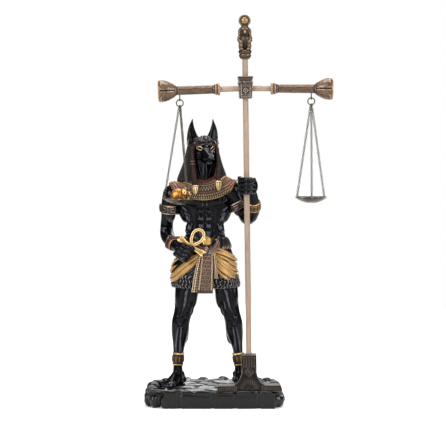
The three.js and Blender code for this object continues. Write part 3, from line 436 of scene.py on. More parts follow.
HEART_STROKES = [
    ([(4.6, -5, 8.6), (1.6, -5.4, 5.6), (-2.6, -5.2, 3.4), (-6, -3, 3)], 0.8, -0.6),
    ([(1.6, -5, 9.4), (-2, -5.2, 8.6), (-5.4, -4, 6.6)], 0.5, 0.4),
    ([(0.6, -5.4, 6.8), (-2.4, -5.4, 6.2), (-4.6, -4.6, 4.6)], 0.45, 0.35),
    ([(5.6, 0.8, 12), (5.6, 0.8, 10)], 1, -0.7), ([(9.6, -1.4, 7.1), (7.6, -1.4, 6.9)], 1, -0.7),
]
# How fine the skins are, in millimetres, and the grids, as steps along and sides round
VOXEL = {
    "body": 0.78, "leg": 0.6, "hand": 0.4, "head": 0.4, "crest": 0.38, "scrolls": 0.34, "cross": 0.34,
    "plinth": 0.9, "staff_foot": 0.36, "crosshead": 0.29, "finial": 0.3, "heart": 0.27,
}
GRID = {
    "collar": (74, 460), "wig": (98, 390), "lock": (120, 40), "kilt": (100, 360), "panel": (118, 47),
    "ribbon": (100, 36), "belt": (28, 300), "band": (26, 120), "pleat": (56, 22), "pan": (60, 96),
    "column": (136, 144),
}

# Lights: name, place in metres, size in metres and power in watts
LIGHTS = [
    ("softbox_left", (-0.9, -0.9, 0.75), (0.4, 0.8), 17),
    ("softbox_right", (1.0, -0.6, 0.55), (0.25, 0.8), 12), ("softbox_top", (0, 0.1, 1.1), (0.7, 0.7), 13),
    ("softbox_back", (0.2, 1.1, 0.7), (1.2, 0.6), 10), ("strip_left", (-0.4, -1.1, 0.5), (0.07, 0.9), 3.2),
    ("strip_right", (0.42, -1.1, 0.5), (0.07, 0.9), 2.6),
]
LEGS = [("right_leg", RIGHT_LEG, (-31.6, 0.5), -27, -1), ("left_leg", LEFT_LEG, (20.2, 0.5), 20, 1)]
FINISHES = {}
SKINS = {}
# Paints, with colours from 0 to 255: hollow is the wash, edge is brushed on what stands proud (on the black skin
# it is partly a painted highlight), sheen clouds the body colour and the tint colour takes its place where a
# piece is tinted (on the sash's pleats it is painted shade, on the stone tops partly a painted highlight).
GOLD = dict(hollow=(44, 22, 6), metallic=0.7, roughness=0.34)
BRONZE = dict(hollow=(20, 14, 10), metallic=0.6, roughness=0.38)
PAINTS = {
    # The skin's grey edge colour is partly dry-brushing and partly a painted highlight in place of reflections
    "black_resin": dict(
        hollow=(2, 2, 4), edge=(68, 69, 80), edge_from=0.78, roughness=0.17, coat=0.06, grain=0.08,
        shine=0.08,
    ),
    "cloth_black": dict(
        hollow=(4, 4, 5), body=(14, 13, 15), edge=(108, 104, 101), edge_from=0.42, roughness=0.3, coat=0.05,
        grain=0.1, shine=0.1,
    ),
    "belt_cloth": dict(
        hollow=(5, 4, 4), body=(22, 16, 16), edge=(130, 110, 100), edge_from=0.42, roughness=0.34,
        shine=0.15,
    ),
    "wig_paint": dict(
        hollow=(4, 3, 4), body=(15, 8, 9), edge=(72, 44, 38), edge_from=0.55, tinted=(22, 22, 21),
        roughness=0.3, shine=0.15,
    ),
    "lock_paint": dict(
        hollow=(8, 4, 4), body=(24, 10, 10), edge=(98, 68, 54), edge_from=0.6, tinted=(138, 108, 64),
        roughness=0.34, shine=0.15,
    ),
    # The stone's lighter grey tint colour goes on the upward-facing flagstone tops: partly dry-brushed grey,
    # partly a painted highlight
    "stone_paint": dict(
        hollow=(2, 2, 3), edge=(70, 70, 71), edge_from=0.9, tinted=(26, 26, 27), roughness=0.28, coat=0.15,
        grain=0.1, shine=0.2,
    ),
    "eye_dark": dict(
        hollow=(12, 6, 3), body=(44, 24, 10), edge=(120, 76, 34), edge_from=0.9, coat=0.3, shine=0.2,
    ),
    "gold_paint": dict(GOLD, edge=(246, 220, 164), edge_from=0.35),
    # The sash's dark brown tint colour is painted shade on the pleats' lower flanks, in their creases and towards
    # their ends
    "gold_sash": dict(
        GOLD, hollow=(30, 16, 8), body=(146, 108, 56), edge=(230, 198, 136), edge_from=0.75,
        tinted=(50, 28, 12), metallic=0.4, roughness=0.36, grain=0.08,
    ),
    "heart_paint": dict(GOLD, body=(154, 98, 34), edge=(232, 186, 108), edge_from=0.5, tinted=(116, 40, 22)),
    "antique_bronze": dict(BRONZE, edge=(156, 128, 98), edge_from=0.6, sheen=(78, 60, 46)),
    "foot_bronze": dict(
        BRONZE, body=(17, 14, 12), edge=(88, 75, 66), edge_from=0.45, sheen=(13, 11, 10), shine=0.25,
    ),
    "plate_bronze": dict(
        BRONZE, body=(70, 56, 48), edge=(146, 128, 112), edge_from=0.35, sheen=(56, 50, 50),
    ),
    "finial_bronze": dict(
        BRONZE, body=(58, 45, 36), edge=(132, 108, 80), edge_from=0.4, tinted=(140, 110, 70),
    ),
    "pan_bronze": dict(BRONZE, body=(44, 35, 24), edge=(146, 134, 106), edge_from=0.7, sheen=(60, 48, 33)),
    "collar_paint": dict(
        BRONZE, body=(62, 44, 31), edge=(178, 148, 104), edge_from=0.42, tinted=(92, 40, 30),
    ),
    "panel_paint": dict(
        BRONZE, body=(158, 130, 106), edge=(210, 184, 152), edge_from=0.2, tinted=(56, 41, 34),
    ),
    "armlet_paint": dict(BRONZE, body=(46, 33, 29), edge=(166, 142, 126), edge_from=0.55, tinted=(12, 8, 8)),
    "bracelet_paint": dict(
        BRONZE, body=(74, 47, 34), edge=(166, 126, 92), edge_from=0.5, tinted=(36, 11, 12),
    ),
    "anklet_paint": dict(BRONZE, body=(62, 43, 24), edge=(204, 164, 100), edge_from=0.5, tinted=(12, 9, 8)),
    "scroll_paint": dict(
        BRONZE, body=(56, 38, 34), edge=(166, 136, 120), edge_from=0.4, tinted=(16, 12, 13),
    ),
    "chain_metal": dict(
        BRONZE, hollow=(22, 20, 16), body=(30, 26, 20), edge=(116, 108, 90), edge_from=0.5, roughness=0.3,
    ),
}
# Paints whose body colour is one of the colours in the sidebar
MAIN_COLOURS = {
    "black_resin": "skin", "stone_paint": "stone", "gold_paint": "gold", "antique_bronze": "bronze",
}
# Bare woods and how their grain is drawn out along the axes
WOODS = {"upright_wood": (1, 1, 0.06), "level_wood": (0.06, 1, 1)}


class Value:
    """A number that changes over a surface. Arithmetic on it adds Math nodes."""

    def __init__(self, finish, socket):
        self.finish = finish
        self.socket = socket

    def math(self, operation, *numbers):
        return self.finish.node("ShaderNodeMath", {"operation": operation}, numbers)

    def __add__(self, other):
        return self.math("ADD", self, other)

    def __sub__(self, other):
        return self.math("SUBTRACT", self, other)

    def __rsub__(self, other):
        return self.math("SUBTRACT", other, self)

    def __mul__(self, other):
        return self.math("MULTIPLY", self, other)

    __radd__ = __add__
    __rmul__ = __mul__

    def kept(self):
        return self.finish.node("ShaderNodeClamp", {}, (self,))

    def band(self, low, high):
        """0 below low, 1 above high and smooth between them."""
        inputs = {"Value": self, "From Min": low, "From Max": high}
        return self.finish.node("ShaderNodeMapRange", {"interpolation_type": "SMOOTHSTEP"}, inputs)


class Finish:
    """A material under construction."""

    def __init__(self, name, **uniform):
        self.material = bpy.data.materials.new(name)
        self.material.use_nodes = True
        self.tree = self.material.node_tree
        self.tree.nodes.clear()
        self.shader = self.tree.nodes.new("ShaderNodeBsdfPrincipled")
        output = self.tree.nodes.new("ShaderNodeOutputMaterial")
        self.tree.links.new(self.shader.outputs["BSDF"], output.inputs["Surface"])
        self.sockets(**uniform)

    def sockets(self, **values):
        """Sets or links the shader's own sockets, named with underscores."""
        for name, value in values.items():
            self.feed(self.shader.inputs[name.replace("_", " ")], value)

    def feed(self, socket, value):
        if isinstance(value, Value):
            self.tree.links.new(value.socket, socket)
        else:
            socket.default_value = value

    def node(self, kind, settings=(), inputs=(), output=0):
        node = self.tree.nodes.new(kind)
        for setting, value in dict(settings).items():
            setattr(node, setting, value)
        for name, value in inputs.items() if isinstance(inputs, dict) else enumerate(inputs):
            self.feed(node.inputs[name], value)
        return Value(self, node.outputs[output])

    def attribute(self, name):
        return self.node("ShaderNodeAttribute", {"attribute_name": name}, output="Fac")

    def place(self, stretch=(1, 1, 1)):
        """Object coordinates in millimetres, stretched along the axes."""
        coordinates = self.node("ShaderNodeTexCoord", output="Object")
        scale = tuple(factor / MM for factor in stretch)
        return self.node("ShaderNodeMapping", {}, {"Vector": coordinates, "Scale": scale})

    def noise(self, size, detail=4.0, roughness=0.55, stretch=(1, 1, 1)):
        """Cloudy variation from 0 to 1, with lumps of about size millimetres."""
        vector = self.place(stretch)
        inputs = {"Vector": vector, "Scale": 1 / size, "Detail": detail, "Roughness": roughness}
        return self.node("ShaderNodeTexNoise", {}, inputs)

    def mix(self, share, first, second):
        inputs = {0: share, 6: first, 7: second}
        return self.node("ShaderNodeMix", {"data_type": "RGBA"}, inputs, output=2)

    def bump(self, height, depth, strength=1.0):
        """Bump whose height runs over depth millimetres."""
        inputs = {"Height": height, "Distance": depth * MM, "Strength": strength}
        self.sockets(Normal=self.node("ShaderNodeBump", {}, inputs))


def colour(red, green, blue):
    """An sRGB colour in 0 to 255 as a linear one."""
    shares = (red / 255, green / 255, blue / 255)
    return (*(c / 12.92 if c <= 10 / 255 else ((c + 0.055) / 1.055) ** 2.4 for c in shares), 1)


def painted(
    name, hollow, body, edge, edge_from=0.12, metallic=0.0, roughness=0.35, grain=0.04, coat=0.0, sheen=None,
    tinted=None, shine=0.5,
):
    """Paint with dark wash in the hollows and a lighter colour on what stands proud: dry-brushing, and on the
    skin partly a painted highlight.

    sheen clouds the body colour, and the tint colour takes its place where the piece is tinted; on the sash's
    pleats that is painted shade, on the stone tops partly a painted highlight.
    """
    finish = Finish(name)
    relief = finish.attribute("relief")
    cloud = finish.noise(2.6, detail=5)
    speckle = finish.noise(0.45, detail=3)
    uneven = relief + (cloud - 0.5) * 0.25 + (speckle - 0.5) * 0.16
    dark = uneven.band(-0.02, -0.34)
    bright = uneven.band(edge_from, edge_from + 0.5)
    base = body if sheen is None else finish.mix(cloud.band(0.42, 0.66), body, sheen)
    if tinted is not None:
        share = finish.attribute("tint") + (cloud - 0.5) * 0.3
        base = finish.mix(share.band(0.3, 0.6), base, tinted)
    wash_brush_and_highlight = finish.mix(bright, finish.mix(dark, base, hollow), edge)
    finish.sockets(
        Base_Color=wash_brush_and_highlight,
        Metallic=(metallic * (1 - dark * 0.7)).kept() if metallic else 0.0,
        Roughness=(roughness + (speckle - 0.5) * 0.18 + dark * 0.22 + bright * 0.05).kept(),
        Coat_Weight=coat,
        Coat_Roughness=0.12,
        Specular_IOR_Level=shine,
    )
    finish.bump(cloud * 0.5 + speckle * 0.5, grain)
    return finish.material


def wood(name, stretch, pale_colour):
    """Bare pale wood whose grain runs along the axis that stretch draws out."""
    finish = Finish(name, Specular_IOR_Level=0.3)
    grain = finish.noise(0.5, detail=4, roughness=0.6, stretch=stretch)
    tone = finish.noise(5, detail=2, stretch=stretch)
    pale = finish.mix(tone.band(0.35, 0.65), pale_colour, colour(136, 116, 100))
    finish.sockets(
        Base_Color=finish.mix(grain.band(0.5, 0.72), pale, colour(112, 88, 72)),
        Roughness=(0.52 + (grain - 0.5) * 0.3).kept(),
    )
    finish.bump(grain, 0.05)
    return finish.material


def wanted_size(name):
    """A size from the sidebar, in millimetres."""
    return getattr(bpy.context.scene.figurine_sizes, name) / MM


def smooth_rows(rows, steps):
    """A table of sections as steps + 1 sections on a smooth curve through them."""
    rows = np.array(rows, float)
    padded = np.vstack([2 * rows[0] - rows[1], rows, 2 * rows[-1] - rows[-2]])
    place = np.linspace(0, len(rows) - 1, steps + 1)
    index = np.minimum(place.astype(int), len(rows) - 2)
    t = (place - index)[:, None]
    before, start, end, after = (padded[index + i] for i in range(4))
    return 0.5 * (
        2 * start
        + (end - before) * t
        + (2 * before - 5 * start + 4 * end - after) * t**2
        + (3 * start - before - 3 * end + after) * t**3
    )


def unit(vectors):
    return vectors / np.maximum(np.linalg.norm(vectors, axis=-1, keepdims=True), 1e-9)


def round_turn(count):
    """Angles once round, in radians."""
    return np.linspace(0, 2 * math.pi, count, endpoint=False)


def spun(profile, sides):
    """Points of a profile of (radius, z) turned once round Z."""
    profile = np.array(profile, float)
    turn = round_turn(sides)
    ring = np.stack([np.cos(turn), np.sin(turn), 0 * turn], axis=1)
    return ring[None] * profile[:, 0, None, None] + np.array(UP) * profile[:, 1, None, None]


def mirrored(strokes, middle=0):
    """Strokes on both sides of a middle line, but once where they lie on it."""
    both = []
    for path, width, depth in strokes:
        for side in (-1, 1) if any(x for x, *_ in path) else (1,):
            both.append(([(middle + side * x, *rest) for x, *rest in path], width, depth))
    return both


def mirror_rows(rows, side):
    return [[side * x, *rest] for x, *rest in rows]


def upright(x, low, high, width, depth):
    """An upright stroke on a front face."""
    return [(x, 0, low), (x, 0, high)], width, depth


def level(z, start, end, width, depth):
    """A level stroke on a front face."""
    return [(start, 0, z), (end, 0, z)], width, depth


def lozenge(z, half_wide, half_high, width):
    """A raised lozenge on the middle of a front face."""
    corners = [(0, half_high), (half_wide, 0), (0, -half_high), (-half_wide, 0), (0, half_high)]
    return [(across, 0, z + up) for across, up in corners], width, 0.5


def tube_grid(table, sides, level=False, front=FRONT, fullness=1.0):
    """Points of a tube, one ring for each row of table, from turn 0 in front towards +X."""
    centres = table[:, None, :3]
    along = unit(np.gradient(table[:, :3], axis=0))
    if level:
        along = np.array([[0, 0, math.copysign(1, table[-1, 2] - table[0, 2])]])
    forward = unit(np.array(front) - along * (along @ np.array(front))[:, None])
    side = np.cross(forward, along)
    side *= math.copysign(1, side[0, 0]) if abs(side[0, 0]) > 1e-6 else 1
    turn = round_turn(sides)
    across = np.sign(np.sin(turn)) * np.abs(np.sin(turn)) ** fullness
    ahead = np.sign(np.cos(turn)) * np.abs(np.cos(turn)) ** fullness
    sideways = side[:, None] * across[None, :, None] * table[:, 3, None, None]
    return centres + sideways + forward[:, None] * ahead[None, :, None] * table[:, 4, None, None]


def outward(points):
    """Unit normals of a grid of points, pointing away from its middle."""
    along = np.gradient(points, axis=0)
    around = np.roll(points, -1, axis=1) - np.roll(points, 1, axis=1)
    normals = unit(np.cross(along, around))
    facing = ((points - points.mean(axis=1, keepdims=True)) * normals).sum()
    return normals * (1 if facing > 0 else -1)


def raised(points, heights):
    """A grid of points lifted along its normals."""
    return points + outward(points) * heights[..., None]


def add_grid(bm, points, wrap=True, closed=False, tint=None):
    """Adds a grid of points as faces, joined at its seam with wrap and from end to end if it is closed.

    The ends of a joined grid are capped. The tint values are a number for each point that a finish can read; on
    the sash's pleats they carry painted shade.
    """
    shade = bm.verts.layers.float.get("tint") or bm.verts.layers.float.new("tint")
    rows, sides = points.shape[:2]
    down = rows if closed else rows - 1
    across = sides if wrap else sides - 1
    made = bmesh.ops.create_grid(bm, x_segments=across, y_segments=down, size=0.5)["verts"]
    for vert in made:
        row = round((vert.co.y + 0.5) * down) % rows
        column = round((vert.co.x + 0.5) * across) % sides
        vert.co = points[row, column]
        if tint is not None:
            vert[shade] = tint[row, column]
    bmesh.ops.remove_doubles(bm, verts=made, dist=1e-5)
    made = [vert for vert in made if vert.is_valid]
    if wrap:
        rims = list({edge for vert in made for edge in vert.link_edges if edge.is_boundary})
        bmesh.ops.holes_fill(bm, edges=rims, sides=0)
    return made


def add_tube(bm, rows, sides=24, steps=None, **shape):
    steps = steps or 4 * (len(rows) - 1)
    add_grid(bm, tube_grid(smooth_rows(rows, steps), sides, **shape))


def add_ball(bm, at, radii, turn=(0, 0, 0), detail=3):
    matrix = Matrix.LocRotScale(Vector(at), Euler([angle * DEGREE for angle in turn]), Vector(radii))
    bmesh.ops.create_icosphere(bm, subdivisions=detail, radius=1, matrix=matrix)


def add_lumps(bm, lumps):
    """Balls given as place, radii and turn, with a second one on the other side where x isn't 0."""
    for (x, y, z), radii, (pitch, roll, yaw) in lumps:
        for side in (-1, 1) if x else (1,):
            add_ball(bm, (side * x, y, z), radii, (pitch, side * roll, side * yaw))


def read_all(items, key, width, kind=np.float32):
    """A property of all vertices or edges of a mesh, one row for each."""
    values = np.empty(len(items) * width, kind)
    items.foreach_get(key, values)
    return values.reshape(-1, width)


def neighbours_mean(values, edges):
    """The mean of each point's neighbours."""
    count = len(values)
    total = np.empty_like(values)
    links = np.bincount(edges.ravel(), minlength=count)
    for axis in range(values.shape[1]):
        given = np.bincount(edges[:, 0], values[edges[:, 1], axis], minlength=count)
        given += np.bincount(edges[:, 1], values[edges[:, 0], axis], minlength=count)
        total[:, axis] = given
    return total / np.maximum(links, 1)[:, None]


def distance_to_path(points, path):
    """How far every point is from a path of straight stretches."""
    nearest = np.full(len(points), 1e9)
    for start, end in zip(path[:-1], path[1:]):
        start, end = np.array(start, float), np.array(end, float)
        span = end - start
        share = np.clip((points - start) @ span / (span @ span), 0, 1)
        nearest = np.minimum(nearest, np.linalg.norm(points - start - share[:, None] * span, axis=1))
    return nearest


def hill(distance, width):
    """A smooth hump, 1 at no distance and 0 past width."""
    share = np.clip(1 - distance / width, 0, 1)
    return share * share * (3 - 2 * share)


def ripple(points, size, seed, octaves=3):
    """Smooth pseudo-random values, mostly from -1 to 1, with lumps of about size."""
    random = np.random.default_rng(seed)
    total = np.zeros(len(points))
    for octave in range(octaves):
        for _ in range(5):
            direction = random.normal(size=3)
            direction *= math.pi * 2**octave / (size * np.linalg.norm(direction))
            total += np.sin(points @ direction + random.uniform(0, 2 * math.pi)) / 2**octave
    return total / 3


class Clay:
    """One skin over overlapping shapes, and the moves that work it. Its points are in millimetres."""

    def __init__(self, bm, voxel, relax=3):
        rough = bpy.data.meshes.new("clay")
        bmesh.ops.recalc_face_normals(bm, faces=bm.faces)
        bm.to_mesh(rough)
        bm.free()
        lump = bpy.data.objects.new("clay", rough)
        bpy.context.scene.collection.objects.link(lump)
        skin = lump.modifiers.new("skin", "REMESH")
        skin.mode = "VOXEL"
        skin.voxel_size = voxel
        evaluated = lump.evaluated_get(bpy.context.evaluated_depsgraph_get())
        self.mesh = bpy.data.meshes.new_from_object(evaluated)
        bpy.data.objects.remove(lump)
        bpy.data.meshes.remove(rough)
        self.points = read_all(self.mesh.vertices, "co", 3).astype(float)
        self.edges = read_all(self.mesh.edges, "vertices", 2, np.int32)
        self.relax(relax)

    def relax(self, steps):
        for _ in range(steps):
            self.points += (neighbours_mean(self.points, self.edges) - self.points) / 2

    def write(self):
        self.mesh.vertices.foreach_set("co", self.points.astype(np.float32).ravel())
        self.mesh.update()

    def normals(self):
        self.write()
        return read_all(self.mesh.vertex_normals, "vector", 3).astype(float)

    def raise_by(self, height):
        self.points += self.normals() * np.asarray(height)[:, None]

    def draw(self, strokes, flat=(1, 1, 1), where=1.0):
        """Raises ridges, or grooves of a negative depth, along strokes seen along the flattened axis."""
        height = np.zeros(len(self.points))
        for path, width, depth in strokes:
            height += depth * hill(distance_to_path(self.points * flat, np.array(path, float) * flat), width)
        self.raise_by(height * where)

    def place(self, matrix):
        matrix = np.array(matrix)
        self.points = self.points @ matrix[:3, :3].T + matrix[:3, 3]


def relief_of(points, normals, edges, reach):
    """How far each point stands proud of its surroundings, about -1 to 1."""
    mean = points.copy()
    for _ in range(reach):
        mean = neighbours_mean(mean, edges)
    proud = ((points - mean) * normals).sum(axis=1)
    spread = np.percentile(np.abs(proud), 92) + 1e-6
    return np.clip(proud / spread, -1.5, 1.5)


def finish_mesh(name, mesh, finish, slot, replaces=(), reach=6, sharp=None, tint=None):
    """Turns a mesh in millimetres into a finished piece that rides on the frame."""
    mesh.name = name
    mesh.materials.clear()
    mesh.materials.append(paint(finish))
    mesh.transform(Matrix.Scale(MM, 4))
    mesh.shade_smooth()
    if sharp:
        mesh.set_sharp_from_angle(angle=sharp * DEGREE)
    points = read_all(mesh.vertices, "co", 3).astype(float)
    normals = read_all(mesh.vertex_normals, "vector", 3)
    relief = relief_of(points, normals, read_all(mesh.edges, "vertices", 2, np.int32), reach)
    for attribute, values in (("relief", relief), ("tint", tint)):
        if values is not None:
            layer = mesh.attributes.new(attribute, "FLOAT", "POINT")
            layer.data.foreach_set("value", values.astype(np.float32))
    piece = bpy.data.objects.new(name, mesh)
    bpy.context.scene.collection.objects.link(piece)
    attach(piece, "root")
    if replaces:
        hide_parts(*replaces)


def finish_bmesh(name, bm, finish, slot, **more):
    bmesh.ops.recalc_face_normals(bm, faces=bm.faces)
    mesh = bpy.data.meshes.new(name)
    bm.to_mesh(mesh)
    bm.free()
    finish_mesh(name, mesh, finish, slot, **more)


def skin_points(name):
    """Points of a bare skin in millimetres, made once."""
    if name not in SKINS:
        legs = {leg[0]: leg[1:] for leg in LEGS}
        clay = leg_clay(*legs[name]) if name in legs else body_clay()
        SKINS[name] = clay.points.copy()
    return SKINS[name]


def finish_clay(name, clay, finish, slot, **more):
    clay.write()
    finish_mesh(name, clay.mesh, finish, slot, **more)


def turned(*steps):
    """Rotations applied from the last to the first, each an angle in degrees and an axis letter."""
    matrix = Matrix.Identity(4)
    for angle, axis in steps:
        matrix = matrix @ Matrix.Rotation(angle * DEGREE, 4, axis)
    return matrix


def put(bm, matrix):
    """Moves everything that is in bm so far."""
    bmesh.ops.transform(bm, verts=bm.verts, matrix=matrix)


def table_at(rows, z):
    """Centre of a limb at a height."""
    table = np.array(rows, float)[::-1]
    return [float(np.interp(z, table[:, 2], table[:, axis])) for axis in (0, 1)]


def add_foot(bm, matrix, mirror):
    """A bare foot from the heel to five toes, the big toe on the inner side."""
    add_tube(bm, SOLE, 20, front=UP)
    for toe in range(5):
        size = 1.95 - toe * 0.2
        across = (4.1 - toe * 2.15) * mirror
        reach = -18.9 + abs(toe - 0.8) * 0.75
        bones = [
            [across * 0.8, -10, size + 1, size * 0.8, size],
            [across, -14.4, size + 0.5, size * 0.86, size],
            [across, (reach - 14.4) / 2 - 0.4, size + 0.35, size * 0.78, size * 0.84],
            [across, reach, size * 0.8, size * 0.74, size * 0.72],
        ]
        add_tube(bm, bones, 12, front=UP)
        add_ball(bm, (across, reach, size * 0.8), (size * 0.86, size * 0.95, size * 0.76))
        tendon = [[across * 0.3, -2, 9.6, 0.5, 0.6], [across * 0.95, -13.6, size * 2, 0.7, 0.6]]
        add_tube(bm, tendon, 8, front=UP)
    add_ball(bm, (0, 8.2, 3.4), (3.9, 3.6, 3.8))
    add_ball(bm, (3.4 * mirror, -14, 2), (2.6, 3, 2))
    put(bm, matrix)


def leg_clay(rows, ankle, turn, outer):
    """One bare leg and its foot."""
    bm = bmesh.new()
    add_foot(bm, Matrix.Translation((*ankle, FOOT_GROUND)) @ turned((turn, "Z")), -outer)
    add_tube(bm, rows, 32, level=True)
    for offset, y, z, *radii in LEG_MUSCLES:
        x, middle = table_at(rows, z)
        add_ball(bm, (x + outer * offset, middle + y, z), radii)
    clay = Clay(bm, VOXEL["leg"])
    front = clay.points[:, 1] < np.interp(clay.points[:, 2], [17, 32, 57, 106], [2, 2, 1, 0.5])

    def on_leg(path):
        return [(table_at(rows, z)[0] + outer * offset, 0, z) for offset, z in path]

    strokes = [(on_leg(path), width, depth * 1.4) for path, width, depth in LEG_GROOVES]
    strokes += [(on_leg(path), *RIDGE) for path in LEG_RIDGES]
    clay.draw(strokes, flat=(1, 0, 1), where=front)
    clay.relax(1)
    return clay


def add_fist(bm, matrix, mirror, wrist):
    """A closed hand round its own z axis: four stacked fingers, a thumb and the palm behind them."""
    for finger in range(4):
        z = (1.5 - finger) * FINGER_PITCH
        size = 1.95 - abs(finger - 1.2) * 0.12
        reach = 1 - abs(finger - 1) * 0.04
        path = [[mirror * x * reach, y * reach, z - 0.2, size, size * 0.96] for x, y in FINGER_PATH]
        add_tube(bm, path, 14, front=UP)
        for x, y in (FINGER_PATH[1], FINGER_PATH[3]):
            add_ball(bm, (mirror * x * reach * 1.03, y * reach * 1.03, z), (size * 1.1,) * 3, detail=2)
    add_tube(bm, mirror_rows(THUMB, mirror), 14, front=UP)
    add_ball(bm, (mirror * -3.4, -5, 6.4), (1.5, 1.4, 1.5), detail=2)
    add_ball(bm, (mirror * 2.6, 3.8, -0.4), (5, 4, 7))
    put(bm, matrix)
    palm = matrix @ Vector((mirror * 2.4, 3.6, 0))
    back = matrix @ Vector((mirror * 0.6, 5, 0))
    add_tube(bm, [[*wrist, 4.1, 4.2], [*((palm + back) / 2), 4.8, 5.2], [*palm, 4.6, 5.4]], 20)


def hand_clay(matrix, mirror, wrist):
    bm = bmesh.new()
    add_fist(bm, matrix, mirror, wrist)
    return Clay(bm, VOXEL["hand"])


def body_clay():
    """Bare torso, neck and both arms down to the wrists."""
    bm = bmesh.new()
    add_tube(bm, TORSO, 48, level=True)
    add_tube(bm, RIGHT_ARM, 28)
    add_tube(bm, LEFT_ARM, 28)
    for mirror in (-1, 1):
        for offset, y, z, *radii, tilt in TORSO_MUSCLES:
            add_ball(bm, (MIDDLE + mirror * offset, y, z), radii, (0, -mirror * tilt, 0))
    for x, y, z, *radii in ARM_MUSCLES:
        add_ball(bm, (x, y, z), radii)
    clay = Clay(bm, VOXEL["body"])
    ridges = [(path, *RIDGE) for path in TORSO_RIDGES]
    for is_front in (True, False):
        where = (clay.points[:, 1] < 0) == is_front
        strokes = [stroke for stroke in TORSO_GROOVES + ridges if (stroke[0][0][1] < 0) == is_front]
        clay.draw(mirrored(strokes, MIDDLE), flat=(1, 0, 1), where=where)
    clay.relax(1)
    return clay


def head_clay():
    """The jackal's head in its own axes, facing -Y, with two tall ears."""
    bm = bmesh.new()
    add_lumps(bm, HEAD_BALLS)
    add_tube(bm, MUZZLE, 24, front=UP)
    add_tube(bm, JAW, 20, front=UP)
    for mirror in (-1, 1):
        add_tube(bm, mirror_rows(EAR, mirror), 20, steps=20, level=True)
    clay = Clay(bm, VOXEL["head"])
    clay.draw(mirrored(HEAD_STROKES))
    _, y, z = clay.points.T
    ear_front = (y < np.interp(z, [4, 26], [1.6, 0.6])) & (z > 4.5)
    narrow = np.interp(z, [6, 16, 22, 25], [1, 0.85, 0.5, 0])
    hollow = ([(x, 0, z) for x, z in EAR_HOLLOW], 2.9, -2.4)
    clay.draw(mirrored([hollow]), flat=(1, 0, 0.7), where=ear_front * narrow)
    clay.relax(1)
    return clay


def wave(turn, count):
    """A hump from 0 to 1 that repeats count times over one turn."""
    return 0.5 + 0.5 * np.cos(turn * count)


def plateau(value, low, high, soft):
    """1 between low and high, falling to 0 over soft on both sides."""
    rise = np.clip((value - low) / soft + 0.5, 0, 1)
    fall = np.clip((high - value) / soft + 0.5, 0, 1)
    return (rise * rise * (3 - 2 * rise)) * (fall * fall * (3 - 2 * fall))


def ovals(across, along, pitch, middle, half_wide, half_high):
    """A row of domes: across is cut into cells of pitch, with a dome in the middle of each."""
    u = ((across / pitch) % 1 - 0.5) * pitch / half_wide
    v = (along - middle) / half_high
    return np.sqrt(np.clip(1 - u * u - v * v, 0, 1))


def grid_share(points):
    """How far along and how far round each point of a grid lies: shares from 0 to 1, and turns in radians."""
    rows, sides = points.shape[:2]
    along = np.repeat(np.linspace(0, 1, rows)[:, None], sides, axis=1)
    return along, np.repeat(round_turn(sides)[None, :], rows, axis=0)


def finish_grid(name, points, finish, slot, wrap=True, thickness=0, tint=None, **more):
    """A piece from one grid of points; with a thickness, it becomes a shell that grows inwards."""
    bm = bmesh.new()
    add_grid(bm, points, wrap=wrap, tint=tint)
    if thickness:
        bmesh.ops.recalc_face_normals(bm, faces=bm.faces)
        facing = sum(face.normal.dot(Vector(FRONT)) for face in bm.faces)
        if facing < 0:
            bmesh.ops.reverse_faces(bm, faces=bm.faces)
        bmesh.ops.solidify(bm, geom=bm.faces[:], thickness=thickness)
    finish_bmesh(name, bm, finish, slot, **more)


def band_grid(cloud, limb, place, height, level):
    """A sleeve of points that hugs the skin round a limb, at a place along its table."""
    steps, sides = GRID["band"]
    fine = smooth_rows(limb, 60 * (len(limb) - 1))
    spot = round(place * 60)
    middle = fine[spot, :3]
    along = unit(fine[spot + 6, :3] - fine[spot - 6, :3])
    along = unit(along * (1 - level) + np.array(UP) * math.copysign(level, along[2]))
    forward = unit(np.array(FRONT) - along * (along @ np.array(FRONT)))
    side = np.cross(forward, along)
    side *= math.copysign(1, side[0])
    turn = round_turn(sides)
    offset = cloud - middle
    depth = offset @ along
    close = np.linalg.norm(offset, axis=1) < 12.5
    angle = np.arctan2(offset @ side, offset @ forward)
    rings = []
    for end in (-0.5, 0.5):
        near = close & (np.abs(depth - end * height * 0.7) < 1.2)
        reach = np.linalg.norm(offset[near] - depth[near, None] * along, axis=1)
        bins = (np.round(angle[near] / (2 * math.pi) * 24) % 24).astype(int)
        radii = np.array([reach[bins == index].max(initial=0) for index in range(24)])
        waves = np.fft.rfft(radii)
        waves[4:] = 0
        smooth = np.fft.irfft(waves, 24)
        rings.append(np.interp(turn, np.arange(25) * 2 * math.pi / 24, np.append(smooth, smooth[0])) + BAND_PROUD)
    share = np.linspace(-0.15, 1.15, steps + 1)[:, None]
    radius = rings[0] * (1 - share) + rings[1] * share
    radius[[0, -1]] *= 0.82
    round_about = side[None] * np.sin(turn)[:, None] + forward[None] * np.cos(turn)[:, None]
    lengths = np.linspace(-height / 2, height / 2, steps + 1)
    return middle + along * lengths[:, None, None] + round_about[None] * radius[..., None]


def band_motif(kind, cells, share):
    """Relief between the rims of a band, and how much of it takes the body colour."""
    if kind == "ovals":
        motif = ovals(cells, share, 1 / 8, 0.5, 0.05, 0.29) * 1.1
        motif -= ovals(cells, share, 1 / 8, 0.5, 0.026, 0.15) * 0.5
        motif += ovals(cells + 1 / 16, share, 1 / 8, 0.5, 0.007, 0.24) * 0.6
        return motif, motif > 0.15
    count, wide = (14, 0.3) if kind == "panels" else (12, 0.36)
    panel = plateau((cells * count) % 1, 0.5 - wide, 0.5 + wide, 0.14) * plateau(share, 0.24, 0.76, 0.08)
    line = plateau((cells * count) % 1, 0.44, 0.56, 0.1) * plateau(share, 0.3, 0.7, 0.06)
    motif = panel * 0.6 + line * (0.4 if kind == "bars" else -0.35)
    return motif, panel * (0.1 if kind == "panels" else 1)


